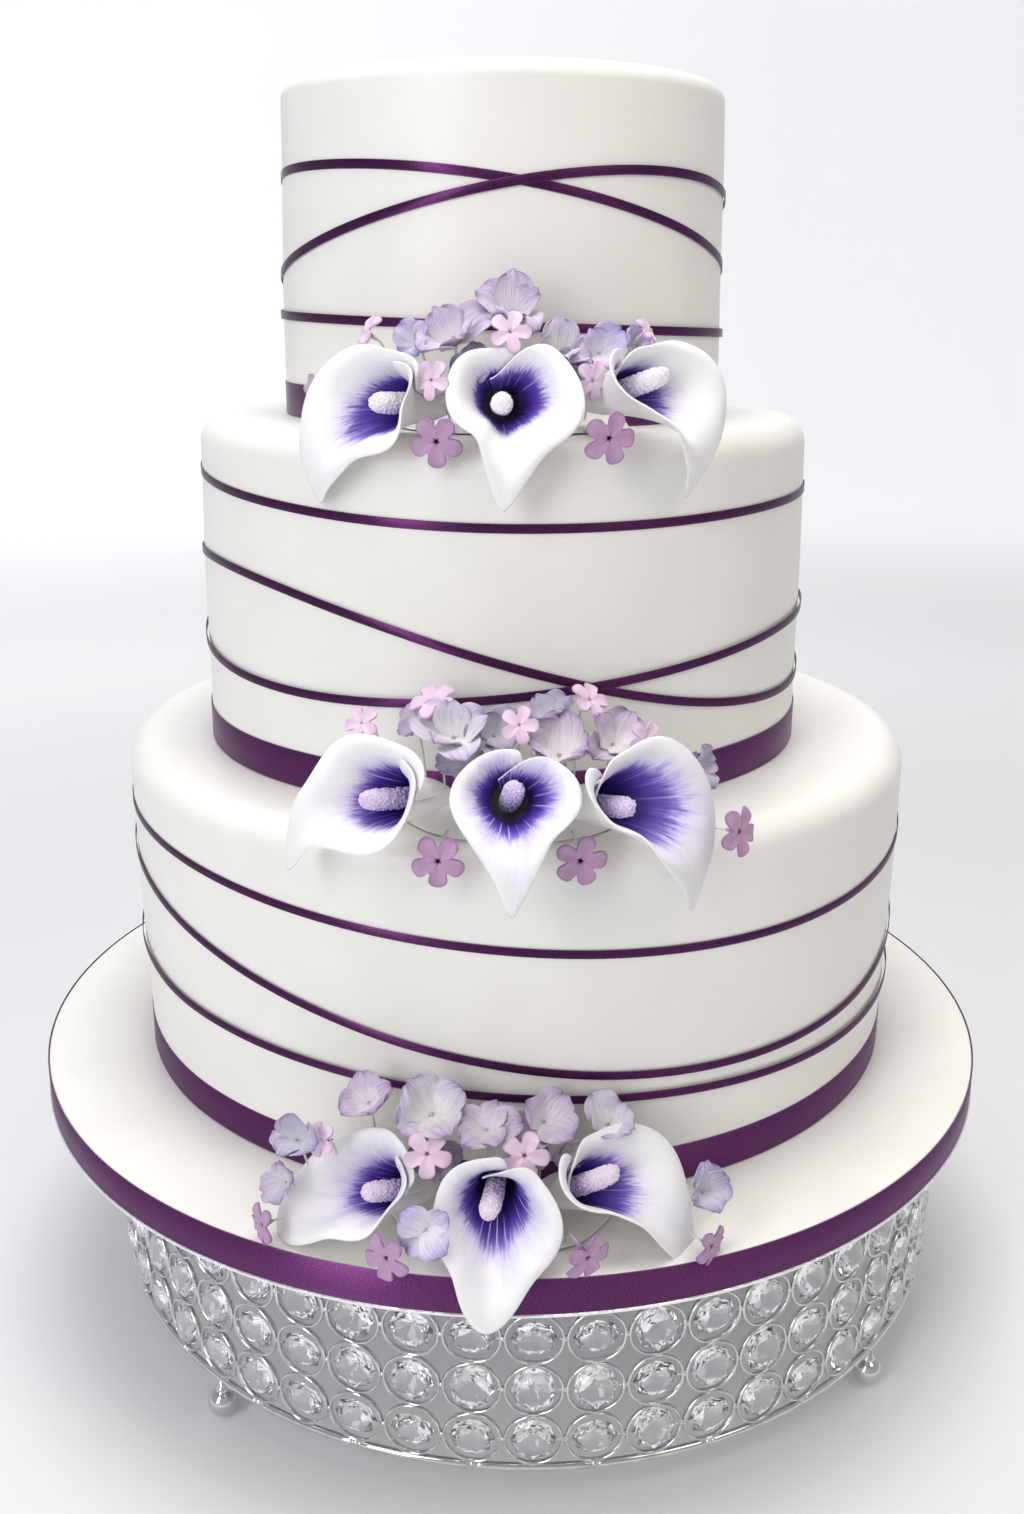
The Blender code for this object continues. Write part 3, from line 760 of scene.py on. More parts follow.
thread_end = ring_radius + 0.5 * MM
thread_middle, thread_length = (thread_end + CRYSTAL_RADIUS) / 2, thread_end - CRYSTAL_RADIUS
threads = [bar_mesh(side * thread_middle, thread_length, 0.22 * MM) for side in (-1, 1)]
set_round_stand("crystal_threads", merged("threads", threads))
set_round_stand("weld_beads_between_columns", bead_mesh(1.25 * MM), Turn=pi / RINGS_IN_ROW)
set_round_stand("weld_beads_between_rows", bead_mesh(1.05 * MM, 1.4), Rows=RING_ROWS + 1,
                First_height=first_row - row_pitch / 2)

# %% The feet
FOOT = 12 * MM
FOOT_TURN, FILED = 48.6, 20  # azimuth of the first foot, and how much of a ball is filed flat, in degrees
NECK, STEM = 2.6 * MM, 1.7 * MM  # radii over the ball
profile = [(0.0, 0.0)] + [(r, max(z, 0.0)) for r, z in arc(0.0, FOOT / 2, FOOT / 2, -90 + FILED, 62, 14)]
profile += [(NECK, 11.6 * MM), (NECK, 12.6 * MM), (STEM, 13.2 * MM), (STEM, hoop_z), (0.0, hoop_z + 0.5 * MM)]
feet = []
for azimuth in (radians(FOOT_TURN + 90 * quarter) for quarter in range(4)):
    x, y = stand_x + stand_radius * sin(azimuth), -stand_radius * cos(azimuth)
    feet.append(mesh_from("foot", *spun(profile, 24, x, y)))
keep_mesh("ball_feet", merged("feet", feet), chrome, "chrome")


# %% The hoops and their clamps
def stand_hoop(wire, z):
    mesh = hoop_mesh(stand_radius + wire / 2, wire, wire, 208, 16, 0.0)
    mesh.transform(Matrix.Translation((stand_x, 0, z)))
    return mesh


keep_mesh("lower_hoop", stand_hoop(2.2 * MM, hoop_z), chrome, "chrome", "stand_lower_hoop_and_feet")
keep_mesh("upper_hoop", stand_hoop(WIRE, band_high.z - WIRE / 2), chrome, "chrome")
SLEEVES, SLEEVE_STEPS, SLEEVE_SIDES = RINGS_IN_ROW // 2, 12, 12


def sleeve_mesh():
    """A curved tube over the hoop, between two clamps, with rounded ends."""
    reach = pi / SLEEVES - 1.3 * MM / stand_radius
    ends = [(-1.0, 0.55), (-0.98, 0.9)]
    along = ends + [(-0.94 + 1.88 * i / SLEEVE_STEPS, 1.0) for i in range(SLEEVE_STEPS + 1)]
    rings = []
    for share, size in along + [(-share, size) for share, size in reversed(ends)]:
        turns = [k * tau / SLEEVE_SIDES for k in range(SLEEVE_SIDES)]
        outs = [stand_radius + WIRE / 2 * size * cos(turn) for turn in turns]
        angle = reach * share
        rings.append([(out * sin(angle), WIRE / 2 * size * sin(turn), out * cos(angle) - stand_radius)
                      for out, turn in zip(outs, turns)])
    return skinned("sleeve", rings)


set_round_stand(
    "hoop_sleeves", sleeve_mesh(), Rows=1, Columns=SLEEVES, Turn=pi / SLEEVES, First_height=hoop_z)
set_round_stand("hoop_clamps", bead_mesh(1.9 * MM, 0.75), Rows=1, Columns=SLEEVES,
                First_height=hoop_z + 0.5 * MM)

# %% The plate
LIP, GROOVE = 2.0 * MM, 0.8 * MM
low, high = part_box("stand_plate")
plate_radius = (high.x - low.x) / 2
under = low.z + 1.5 * MM
profile = [(0.0, under), (plate_radius - 14 * MM, under), (plate_radius - 12 * MM, low.z)]
profile += arc(plate_radius - LIP, low.z + LIP, LIP, -90, 0, 5)
profile += [(plate_radius - GROOVE, z) for z in (low.z + LIP + 1 * MM, high.z - LIP - 1 * MM)]
profile += arc(plate_radius - LIP, high.z - LIP, LIP, 0, 90, 5) + [(0.0, high.z)]
plate = mesh_from("plate", *spun(profile, 208, stand_x))
keep_mesh("stand_top_plate", plate, chrome, "chrome", "stand_plate", sharp=50)

# %% [markdown]
# ## The sugar flowers
#
# The flowers stand where the part's solids stand. Each is modelled facing +Z, with its lowest petal towards
# -Y, then turned to face out from the cake and set on its ledge. A petal is a sheet of quads, which Solidify
# makes as thick as rolled paste and Subdivision Surface rounds.

# %% Where the ledges are, and how a flower is set on one
ledges = {"bottom": icing_top, "middle": tiers["bottom"]["high"], "top": tiers["middle"]["high"]}


def turned_about(axis, degrees):
    return Matrix.Rotation(radians(degrees), 4, axis)


def ledge_point(ledge, right, front, up):
    return Vector((right * MM, -front * MM, ledges[ledge] + up * MM))


def setting(ledge, place, facing, turn, size):
    """The matrix of a flower: place in mm right, in front and up, facing in degrees right and up."""
    heading, pitch = facing
    turned = turned_about("Z", heading) @ turned_about("X", 90 - pitch) @ turned_about("Z", turn)
    return Matrix.Translation(ledge_point(ledge, *place)) @ turned @ Matrix.Scale(size, 4)


def into_place(points, matrix):
    turned = np.array(matrix)
    return np.asarray(points) @ turned[:3, :3].T + turned[:3, 3]


def sheet_mesh(name, grid, uvs, closed=False):
    """A mesh of quads from grid[column][row] points, with a UV map. closed joins the last column to the
    first. Its front is on the left of the columns, seen with the rows upright."""
    columns, rows = len(grid), len(grid[0])
    faces, corner_uvs = [], []
    for i in range(columns - (not closed)):
        after = (i + 1) % columns
        for j in range(rows - 1):
            corners = ((i, j), (after, j), (after, j + 1), (i, j + 1))
            faces.append(tuple(c * rows + r for c, r in corners))
            corner_uvs += [uvs[c][r] if c or not (closed and i) else (1.0, uvs[c][r][1]) for c, r in corners]
    mesh = mesh_from(name, [point for column in grid for point in column], faces)
    layer = mesh.uv_layers.new(name="UVMap")
    layer.data.foreach_set("uv", np.array(corner_uvs, np.float32).ravel())
    return mesh


def keep_fleshed(name, mesh, thickness, materials, slot, *nodes):
    """Gives one-sided petals their thickness and keeps them. The last material covers backs and rims."""
    piece = add_object(name, mesh)
    for material in materials:
        mesh.materials.append(material)
    wall = piece.modifiers.new("Wall", "SOLIDIFY")
    wall.thickness, wall.offset = thickness, -1.0
    wall.material_offset = wall.material_offset_rim = len(materials) - 1
    softened(piece, 1)
    settled(piece).data.shade_smooth()
    keep(piece, slot, *nodes)


# %% [markdown]
# ### The calla lilies
#
# A real one is a single heart-shaped sheet, rolled so that its right edge lies over its left, and flared at
# the top into a rim that runs out to a drooping tip. A grid rolled round an axis follows that: the columns go
# round and the rows go up from the stem. A hand-made rim is wider on one side than on another, so each flower
# names how far its rim stands from the axis in eight directions. Towards its free edges the rows stop short,
# which makes the heart's lobes and the line that runs down into the throat.

# %% The rolled petal
CALLA_LENGTH = 46.0  # mm from the stem to the front of the lip
CALLA_STEM = 4.8  # mm, radius of the tube where it meets the stem
CALLA_WALL = 0.8 * MM
LEFT_END, RIGHT_END = -pi - 0.42, pi + 0.5  # how far round the two edges go: past half a turn they overlap
LAP = 1.9  # mm between the two layers where they overlap
LEFT_COLUMNS, RIGHT_COLUMNS, CALLA_ROWS = 35, 37, 20


def between_eight(values, around):
    """A smooth closed curve through eight values, one for each eighth of a turn, from the tip rightwards."""
    place = around / (pi / 4) % 8
    number = np.floor(place).astype(int)
    f = place - number
    before, here, after, later = (np.array(values, float)[(number + step) % 8] for step in (-1, 0, 1, 2))
    bend = 2 * before - 5 * here + 4 * after - later + f * (3 * (here - after) + later - before)
    return here + 0.5 * f * (after - before + f * bend)


def calla_grid(reach, tip, point, free_edge, number, brushed, further, side):
    """Points in mm, UV pairs, and how far each point hangs and hooks with the tip. point is how much of the
    tip is a fine point, and free_edge how much the right lobe falls away towards its edge."""
    left = LEFT_END * (1 - np.arange(LEFT_COLUMNS) / LEFT_COLUMNS)
    right = RIGHT_END * np.arange(RIGHT_COLUMNS + 1) / RIGHT_COLUMNS
    around = np.concatenate([left, right])[:, None]
    from_tip = np.abs(around)
    row = np.arange(CALLA_ROWS + 1)[None, :] / CALLA_ROWS
    lobe = 1 - free_edge * between(pi - 0.75, RIGHT_END, around)
    lobe -= 0.35 * between(pi + 0.15, -LEFT_END, -around)
    t = lobe * row**0.85
    rim = between_eight(reach, around) + 0.4 * np.sin(5 * around + number)
    rim += (1 - point) * tip * np.exp(-((around / 0.44) ** 2))
    out = CALLA_STEM + (rim - CALLA_STEM) * t**1.75 + 1.05 * point * tip * np.exp(-from_tip / 0.16) * t**8
    rise = CALLA_LENGTH * (0.78 + 0.22 * np.cos(around)) * (1 - (1 - t) ** 1.45)
    rise -= 6 * np.exp(-from_tip / 0.5) * t**6
    rolled_back = np.clip((rim - 13) / 9, 0, 1) * np.clip((t - 0.75) / 0.25, 0, 1) ** 2
    rise -= (3.2 + 0.8 * np.sin(3 * around + number)) * rolled_back * (1 - np.exp(-((around / 0.55) ** 2)))
    d_out, d_rise = np.gradient(out, axis=1), np.gradient(rise, axis=1)
    lap = LAP * between(2.2, 3.0, around) * np.clip(t / 0.3, 0, 1) / np.hypot(d_out, d_rise)
    out, rise = out - lap * d_rise, rise + lap * d_out
    neck = between(-0.02, 0.09, row)
    out, rise = out * (0.3 + 0.7 * neck), rise - 3.5 * (1 - neck)
    end = np.where(around > 0, RIGHT_END, -LEFT_END)
    turned = around * (1 - (1 - pi / end) * (1 - between(0.0, 0.35, t)))
    points = np.stack([out * np.sin(turned), -out * np.cos(turned), rise], -1)
    dusting = t / (brushed * (1 + further * np.cos(around - side)))
    uvs = np.stack([(around - LEFT_END) / (RIGHT_END - LEFT_END) + 0 * t, dusting], -1)
    hang = np.exp(-((around / 0.62) ** 2)) * row**4.25
    hook = np.exp(-((around / 0.22) ** 2)) * row**11.9
    return points, uvs, hang[..., None], hook[..., None]


# %% The violet throat
THROAT_COLOURS = (
    (0.0, (0.020, 0.014, 0.060)), (0.20, (0.030, 0.016, 0.13)), (0.34, (0.055, 0.023, 0.27)),
    (0.46, (0.080, 0.032, 0.35)), (0.56, (0.105, 0.050, 0.39)), (0.61, (0.22, 0.15, 0.53)),
    (0.66, (0.56, 0.49, 0.78)), (0.72, (0.80, 0.77, 0.87)), (0.84, (0.855, 0.85, 0.86)),
)


def calla_inside(name, seed, blush, scratched):
    """White, with a violet throat brushed outwards in fine streaks. V is how far out from the stem."""
    made, tree = new_material(name)
    broad = place_group(tree, petal_rays, Rays=22.0, Length=2.0, Different=seed)
    fine = place_group(tree, petal_rays, Rays=170.0, Length=7.0, Different=seed + 5)
    streaks = remap(broad["Rays"], 0.3, 0.7, -0.035, 0.035) + remap(fine["Rays"], 0.32, 0.72, -0.05, 0.07)
    dusted = broad["Base to rim"] - streaks
    ramp = tree.nodes.new("ShaderNodeValToRGB")
    fill(ramp.inputs[0], dusted)
    while len(ramp.color_ramp.elements) < len(THROAT_COLOURS):
        ramp.color_ramp.elements.new(0.5)
    for element, (position, colour) in zip(ramp.color_ramp.elements, THROAT_COLOURS):
        element.position, element.color = position, (*colour, 1)
    drawn = remap(dusted, 0.30, 0.42) * remap(dusted, 0.68, 0.60)
    lines = broad["Scratches"] * drawn * (0.8 * scratched)
    with_lines = blend(lines, Field(ramp.outputs[0]), (0.72, 0.68, 0.90))
    veil = remap(dusted, 0.5, 0.68) * remap(dusted, 1.15, 0.65, 0.0, blush)
    cloudy = veil * remap(broad["Rays"], 0.35, 0.6, 0.3, 1.0)
    return set_shader(made, Base_Color=blend(cloudy, with_lines, (0.50, 0.42, 0.78)),
                      Roughness=remap(fine["Rays"], 0.3, 0.7, 0.42, 0.6),
                      Normal=bumped(fine["Rays"] * 0.00010))


petal_white = sugar_material(
    "white sugar petal", (0.82, 0.81, 0.81), (0.86, 0.855, 0.85), (0.42, 0.52),
    (0.0005, 0.00002), (0.012, 0.00015))

# %% The nine calla lilies
# place, facing and turn as in `setting`, and the rim's reach in eight directions, from the tip round to the
# right; then how long the tip is and how much of it is a fine point, the free edge, and how far the tip hangs
# and how its very end hooks, in mm right, back and up.
CALLAS = {
    "top_left": ((-45, 117, 11), (-47, 3), -42, (22, 17.5, 18, 11.5, 18, 17, 24, 27),
                 (13, 0.4), 0.12, (-2, 0, -6), (5, 0, -3)),
    "top_middle": ((-4, 122, 11), (2, 5), 0, (20, 21, 26, 24.5, 18.5, 20.5, 19, 14),
                   (12, 0.62), 0.42, (0, 0, 0), (-1, 0, -3)),
    "top_right": ((44, 118, 15), (46, 8), 40, (22, 29, 23, 14, 18, 13, 9.5, 13),
                  (12, 0.5), 0.42, (-4, 0, -7), (-8, 0, -5)),
    "middle_left": ((-46, 167, 19), (-47, 10), -55, (23, 16, 18, 15, 20, 20, 22, 21),
                    (10, 0.75), 0.12, (-2, 0, 0), (0, 0, -12)),
    "middle_middle": ((-1, 172, 20), (4, 20), 0, (20, 15.5, 22, 19, 17, 19, 20, 19),
                      (12, 0.8), 0.42, (0, 0, -3), (-2, 0, -3)),
    "middle_right": ((38, 167, 16), (48, 8), 45, (25, 31, 27, 19, 20, 13, 9, 16),
                     (12, 0.62), 0.42, (-2, 0, -8), (-4, 0, -8)),
    "bottom_left": ((-50, 184, 20.5), (-47, 22), -50, (22, 16, 15, 12, 18, 21, 20, 21),
                    (12, 0.2), 0.12, (-1, 0, -4), (0, 0, 0)),
    "bottom_middle": ((-7.5, 196, 18.5), (-4, 0), 0, (22, 22, 23, 20, 19, 20, 20, 18),
                      (13, 0.22), 0.42, (-2, -2.0, 0.4), (0, 0, -1.6)),
    "bottom_right": ((31, 187, 23), (52, 24), 35, (22, 29, 25, 18, 20, 15, 8.5, 12),
                     (12, 0.4), 0.42, (1, 0, -6), (0, 0, -6)),
}
# how far up the wall the violet is brushed, how much further on one side and which (degrees from the tip to
# the right), how strong the lilac blush beyond it is, and how clearly the scratched lines show
THROATS = {
    "top_left": (0.84, 0.14, 45, 0.08, 0.2), "top_middle": (0.84, 0.24, 160, 0.10, 0.5),
    "top_right": (0.86, 0.18, -140, 0.10, 0.3), "middle_left": (0.86, 0.12, 160, 0.22, 1.0),
    "middle_middle": (1.0, 0.10, 180, 0.60, 1.0), "middle_right": (0.95, 0.10, 80, 0.35, 0.25),
    "bottom_left": (0.80, 0.12, 180, 0.55, 1.0), "bottom_middle": (0.90, 0.14, 180, 0.40, 1.3),
    "bottom_right": (0.86, 0.05, 180, 0.15, 0.8),
}
SPADIX_REACH = 30.0  # mm from the stem to the tip of the finger
calla_settings = {}
for number, (name, (place, facing, turn, reach, (tip, point), free_edge, hang_by, hook_by)) in enumerate(
        CALLAS.items()):
    matrix = setting(name.split("_")[0], place, facing, turn, 1.0)
    matrix = matrix @ Matrix.Translation((0, 0, -SPADIX_REACH * MM)) @ Matrix.Scale(MM, 4)
    calla_settings[name] = matrix
    brushed, further, side, blush, scratched = THROATS[name]
    points, uvs, hang, hook = calla_grid(
        reach, tip, point, free_edge, number, brushed, further, radians(side))
    points = into_place(points, matrix) + (hang * hang_by + hook * hook_by) * MM
    inside = calla_inside(f"violet throat {name}", 3.1 * number, blush, scratched)
    inner_face = sheet_mesh(name, points[::-1], uvs[::-1])
    keep_fleshed(f"petal_of_calla_{name}", inner_face, CALLA_WALL, (inside, petal_white),
                 "sugar_white", f"calla_{name}")

# %% [markdown]
# ### The spadices
#
# The finger in each calla is rolled paste, brushed with egg white and dipped in coarse sugar. Grains are far
# too many to place by hand: Distribute Points on Faces scatters them with a fixed seed, and each gets a small
# stone.

# %% The sugar grain tree
grain_tree, taken = new_tree(
    "Sugar grains", "GeometryNodeTree", Grain="", Grains_per_square_metre=4000000.0, Smallest=0.6,
    Largest=1.3, Seed=3, Material=None)
scattered = node(grain_tree, "GeometryNodeDistributePointsOnFaces", Mesh=taken["Geometry"],
                 Density=taken["Grains per square metre"], Seed=taken["Seed"])
grain_size = node(grain_tree, "FunctionNodeRandomValue", Min=taken["Smallest"], Max=taken["Largest"],
                  Seed=taken["Seed"], data_type="FLOAT")["Value"]
grain_turn = node(
    grain_tree, "FunctionNodeRandomValue", (0, 0, 0), (tau, tau, tau), data_type="FLOAT_VECTOR")["Value"]
stone = node(grain_tree, "GeometryNodeObjectInfo", Object=taken["Grain"])["Geometry"]
stones = node(grain_tree, "GeometryNodeInstanceOnPoints", Points=scattered, Instance=stone,
              Rotation=grain_turn, Scale=grain_size)
give_painted(grain_tree, taken, stones)


# %% The rolled fingers
def lilac_from_base(name, root, tip):
    """The paste is dusted violet at its root and stays pale at its tip. V runs from root to tip."""
    made, tree = new_material(name, Subsurface_Weight=0.15, Subsurface_Radius=(0.002, 0.0015, 0.002))
    up = split(coordinates(tree, "UV"))[1]
    skin = sugar_skin_in(tree, (0.0005, 0.00012), (0.006, 0.0002))
    return set_shader(made, Base_Color=blend(remap(up, 0.25, 0.85, smooth=True), root, tip),
                      Roughness=remap(skin["Tone"], 0.0, 1.0, 0.6, 0.75), Normal=skin["Normal"])


SPADIX_RADIUS, SPADIX_COLUMNS = 3.3, 20  # mm
SPADIX_ROOT = 5  # mm from the stem
SPADIX_LENGTHS = {"middle_middle": 0.82}  # a share of the usual length, for the one that is shorter
SPADIX_OUTLINE = (
    (0.6, SPADIX_ROOT), (0.85, 8), (0.97, 13), (1.0, 18), (1.0, 24.5), (0.93, 27.2), (0.74, 29), (0.42, 29.8),
    (0.08, SPADIX_REACH),
)
# where each tip ends up, in mm right, in front and up: the finger bends out of the tube's axis towards it
SPADIX_TIPS = {
    "top_left": (-47, 117, 11), "top_middle": (-4.7, 122, 11.5), "top_right": (48.5, 118, 20.4),
    "middle_left": (-49, 167, 19), "middle_middle": (-0.5, 166, 22.8), "middle_right": (37, 167, 16.5),
    "bottom_left": (-50.2, 184, 20), "bottom_middle": (-9.2, 196, 19.4), "bottom_right": (33.5, 187, 30),
}


def spadix_mesh(name):
    matrix, length = calla_settings[name], SPADIX_LENGTHS.get(name, 1.0)
    straight_tip = matrix @ Vector((0, 0, SPADIX_ROOT + (SPADIX_REACH - SPADIX_ROOT) * length))
    bend = ledge_point(name.split("_")[0], *SPADIX_TIPS[name]) - straight_tip
    grid, uvs = [], []
    for i in range(SPADIX_COLUMNS):
        around = i * tau / SPADIX_COLUMNS
        column = []
        for share, z in SPADIX_OUTLINE:
            out = SPADIX_RADIUS * share * (1 + 0.04 * sin(3 * around + z))
            along = SPADIX_ROOT + (z - SPADIX_ROOT) * length
            bent = bend * ((z - SPADIX_ROOT) / SPADIX_REACH) ** 1.5 * 1.31
            column.append(matrix @ Vector((out * sin(around), -out * cos(around), along)) + bent)
        grid.append(column)
        uvs.append([(i / SPADIX_COLUMNS, z / SPADIX_REACH) for share, z in SPADIX_OUTLINE])
    return closed_mesh(sheet_mesh(name, grid, uvs, closed=True))


# %% The fingers and their sugar
# the paste at the root and at the tip, then the sugar on it
SPADIX_COLOURS = {
    "top": ((0.45, 0.36, 0.62), (0.88, 0.84, 0.88), (0.93, 0.90, 0.93)),
    "middle": ((0.20, 0.11, 0.45), (0.66, 0.55, 0.77), (0.76, 0.67, 0.85)),
    "bottom": ((0.34, 0.22, 0.58), (0.80, 0.68, 0.84), (0.86, 0.76, 0.88)),
}
shape = bmesh.new()
bmesh.ops.create_icosphere(shape, subdivisions=1, radius=0.42 * MM)
grain = add_object("grain", mesh_of("grain", shape))
for ledge, (root, tip_colour, sugar) in SPADIX_COLOURS.items():
    paste = lilac_from_base(f"spadix paste {ledge}", root, tip_colour)
    dim = tuple(0.9 * c for c in sugar)
    grains = sugar_material(f"sugar grains {ledge}", dim, sugar, (0.25, 0.4), (0.0003, 0.00002), (0.01, 0.0))
    names = [f"{ledge}_{side}" for side in ("left", "middle", "right")]
    fingers = [spadix_mesh(name) for name in names]
    for name, mesh in zip(names, fingers):
        keep_mesh(f"rolled_spadix_{name}", mesh, paste, "sugar_spadix", f"spadix_{name}")
    keep(grown(f"spadix_sugar_grains_{ledge}", grain_tree, merged("start", fingers), Grain=grain,
               Grains_per_square_metre=1300000.0, Seed=3, Material=grains), "sugar_spadix")
bpy.data.objects.remove(grain)

# %% [markdown]
# ### Hydrangeas and small blossoms
#
# Each hydrangea has four or five thin, cupped, overlapping petals pressed on a veined mould, white in the
# middle and dusted lilac towards the rim. The small blossoms are punched out with a five-petalled cutter and
# pushed over a cone, so a tapered trumpet shows behind them.

# %% Petals of a hydrangea
ACROSS, ALONG = 10, 10
PETAL_FOOT = 0.14  # half the width where a petal starts, as a share of its length
PETAL_WIDTHS = {4: 0.56, 5: 0.48}


def hydrangea_petals(petals, radius, cup, seed):
    """Sheets of cupped petals. cup is how steeply they rise, in radians. Every other petal lies over its
    neighbours. Each rises in its own way, rolls its rim back, turns its sides up, and ruffles."""
    sheets = []
    u = np.linspace(-1, 1, ACROSS + 1)[:, None]
    v = np.linspace(0, 1, ALONG + 1)[None, :]
    for petal in range(petals):
        vary, other = sin(seed + 2.4 * petal), sin(1.7 * seed + 4.1 * petal + 1)
        half = PETAL_FOOT + (PETAL_WIDTHS[petals] - PETAL_FOOT) * between(-0.35, 0.56, v)
        half = half * np.sqrt(1 - np.clip((v - 0.58) / 0.45, 0, 1) ** 2.2) * (1 + 0.13 * vary)
        upper = 0.16 if petal % 2 == 0 else -0.10
        slope = 0.2 + upper + 0.78 * cup * (1 + 0.45 * other) * between(0.0, 0.6, v)
        slope = slope - 0.9 * between(0.62, 1.0, v)
        step = (1 + 0.12 * vary) / ALONG
        out = np.cumsum(np.cos(slope), axis=1) * step - 0.08
        up = np.cumsum(np.sin(slope), axis=1) * step
        lift = (0.34 - 1.2 * upper) * u * u * half + 0.08 * other * u * half
        lift = lift + 0.06 * np.sin(5.5 * u + 3 * seed + petal) * v**2 + 0.035 * np.sin(11 * u + seed) * v**4
        reach = out - lift * np.sin(slope) - (0.10 * u * u - 0.03 * np.sin(6 * u + 2 * seed + petal)) * v * v
        height = up + lift * np.cos(slope)
        turn = petal * tau / petals + 0.2 * other
        x, y = u * half, -reach
        points = np.stack([x * cos(turn) - y * sin(turn), x * sin(turn) + y * cos(turn), height], -1)
        sheets.append((points * radius, np.stack([0.5 + u / 2 + petal + 0 * v, 0.06 + 0.94 * v + 0 * u], -1)))
    return sheets


def flower_eye(radius, high):
    """The little button in the middle, as a sheet with V near nothing."""
    turns = np.linspace(0, tau, 9)[:, None]
    out = radius * np.array((1.0, 0.8, 0.45, 0.02))[None, :] + 0 * turns
    up = high * np.array((0.3, 0.75, 0.97, 1.0))[None, :] + 0 * turns
    points = np.stack([out * np.cos(turns), out * np.sin(turns), up], -1)
    return points, np.stack([0 * out, 0 * out + 0.01], -1)


# %% A small blossom
BLOSSOM_COLUMNS = 50
FLARES = (0.19, 0.32, 0.46, 0.60, 0.75, 0.88, 0.97, 1.0)
PETAL_START, NOTCH_REACH = 0.12, 0.40  # where the petals leave the throat, and how far out the notches are


def blossom_grid(radius, tail, seed):
    """A trumpet that opens into five rounded petals, as one sheet from the stem end out to the rim."""
    grid, uvs = [], []
    throat = ((0.06, -tail), (0.08, -tail * 0.75), (0.10, -tail * 0.42), (0.11, -0.2 * radius),
              (PETAL_START, -0.07 * radius))
    for i in range(BLOSSOM_COLUMNS):
        around = i * tau / BLOSSOM_COLUMNS
        petal = abs(cos(2.5 * around))
        outline = NOTCH_REACH + (1 - NOTCH_REACH) * petal**0.36
        tilt = 0.13 * sin(around + seed) + 0.07 * sin(2 * around + 2 * seed)
        column = [(r * radius * sin(around), -r * radius * cos(around), z) for r, z in throat]
        for share in FLARES:
            reach = PETAL_START + (outline - PETAL_START) * (share - PETAL_START) / (1 - PETAL_START)
            height = (0.10 + tilt) * reach * reach - 0.05 * reach
            height += 0.16 * (1 - petal) * reach - 0.12 * between(0.75, 1.0, reach) * petal
            column.append((reach * sin(around) * radius, -reach * cos(around) * radius, height * radius))
        grid.append(column)
        rows = [0.02 * k for k in range(len(throat))] + [0.1 + 0.9 * share for share in FLARES]
        uvs.append([(i / 10, row) for row in rows])
    return grid, uvs


# %% The dusted finishes, with painted shade in the blossoms' throats
EYE_GREEN = (0.42, 0.45, 0.40)


def hydrangea_material(name, middle, rim, edge, different, rays=16.0):
    made, tree = new_material(
        name, Sheen_Weight=0.1, Subsurface_Weight=0.1, Subsurface_Radius=(0.002, 0.002, 0.002),
        Roughness=0.55)
    streaks = place_group(tree, petal_rays, Rays=rays, Length=1.4, Different=different)
    fine = place_group(tree, petal_rays, Rays=2 * rays, Length=1.0, Different=different + 3)
    out = streaks["Base to rim"] + remap(streaks["Rays"], 0.3, 0.7, -0.14, 0.14)
    body = blend(remap(out, 0.35, 0.95, smooth=True), middle, rim)
    vein = remap(fine["Rays"], 0.50, 0.66) * remap(fine["Base to rim"], 0.1, 0.5, 0.05, 0.34)
    body = blend(vein, body, edge)
    line = remap(streaks["Base to rim"], 0.95, 0.98) * 0.8
    rimmed = blend(sum_of("MAXIMUM", remap(out, 0.84, 1.10), line), body, edge)
    eye = remap(streaks["Base to rim"], 0.02, 0.04, 1.0, 0.0)
    ridges = streaks["Rays"] * 0.0006 + fine["Rays"] * 0.0003
    return set_shader(made, Base_Color=blend(eye, rimmed, EYE_GREEN), Normal=bumped(ridges))


def blossom_material(name, body, edge, throat_shade):
    made, tree = new_material(
        name, Subsurface_Weight=0.1, Subsurface_Radius=(0.002, 0.0015, 0.002), Roughness=0.5)
    streaks = place_group(tree, petal_rays, Rays=6.0, Length=2.0, Different=2.0)
    out = streaks["Base to rim"]
    dusted = blend(remap(streaks["Rays"], 0.3, 0.7, 0.0, 0.35), body, edge)
    rimmed = blend(remap(out, 0.88, 0.99) * 0.9, dusted, edge)
    # painted shade: the hollow of the throat, where the petals leave it, takes the dark shade colour
    shaded_throat = remap(out, 0.26, 0.14) * remap(out, 0.02, 0.06)
    skin = sugar_skin_in(tree, (0.0004, 0.00003), (0.004, 0.0003))
    return set_shader(made, Base_Color=blend(shaded_throat, rimmed, throat_shade), Normal=skin["Normal"])


# a hydrangea's middle, its rim, its edge and veins, and what makes its rays differ from the others'
HYDRANGEA_DUSTING = {
    "lilac": ((0.78, 0.73, 0.81), (0.56, 0.46, 0.66), (0.28, 0.20, 0.40), 1.0),
    "white": ((0.82, 0.80, 0.81), (0.62, 0.55, 0.72), (0.32, 0.25, 0.46), 4.0),
    "blue": ((0.78, 0.75, 0.84), (0.54, 0.46, 0.75), (0.24, 0.18, 0.54), 8.0),
    "plum": ((0.80, 0.76, 0.79), (0.54, 0.42, 0.60), (0.24, 0.15, 0.31), 2.0),
    "grey": ((0.66, 0.64, 0.72), (0.44, 0.40, 0.58), (0.24, 0.20, 0.38), 12.0),
}
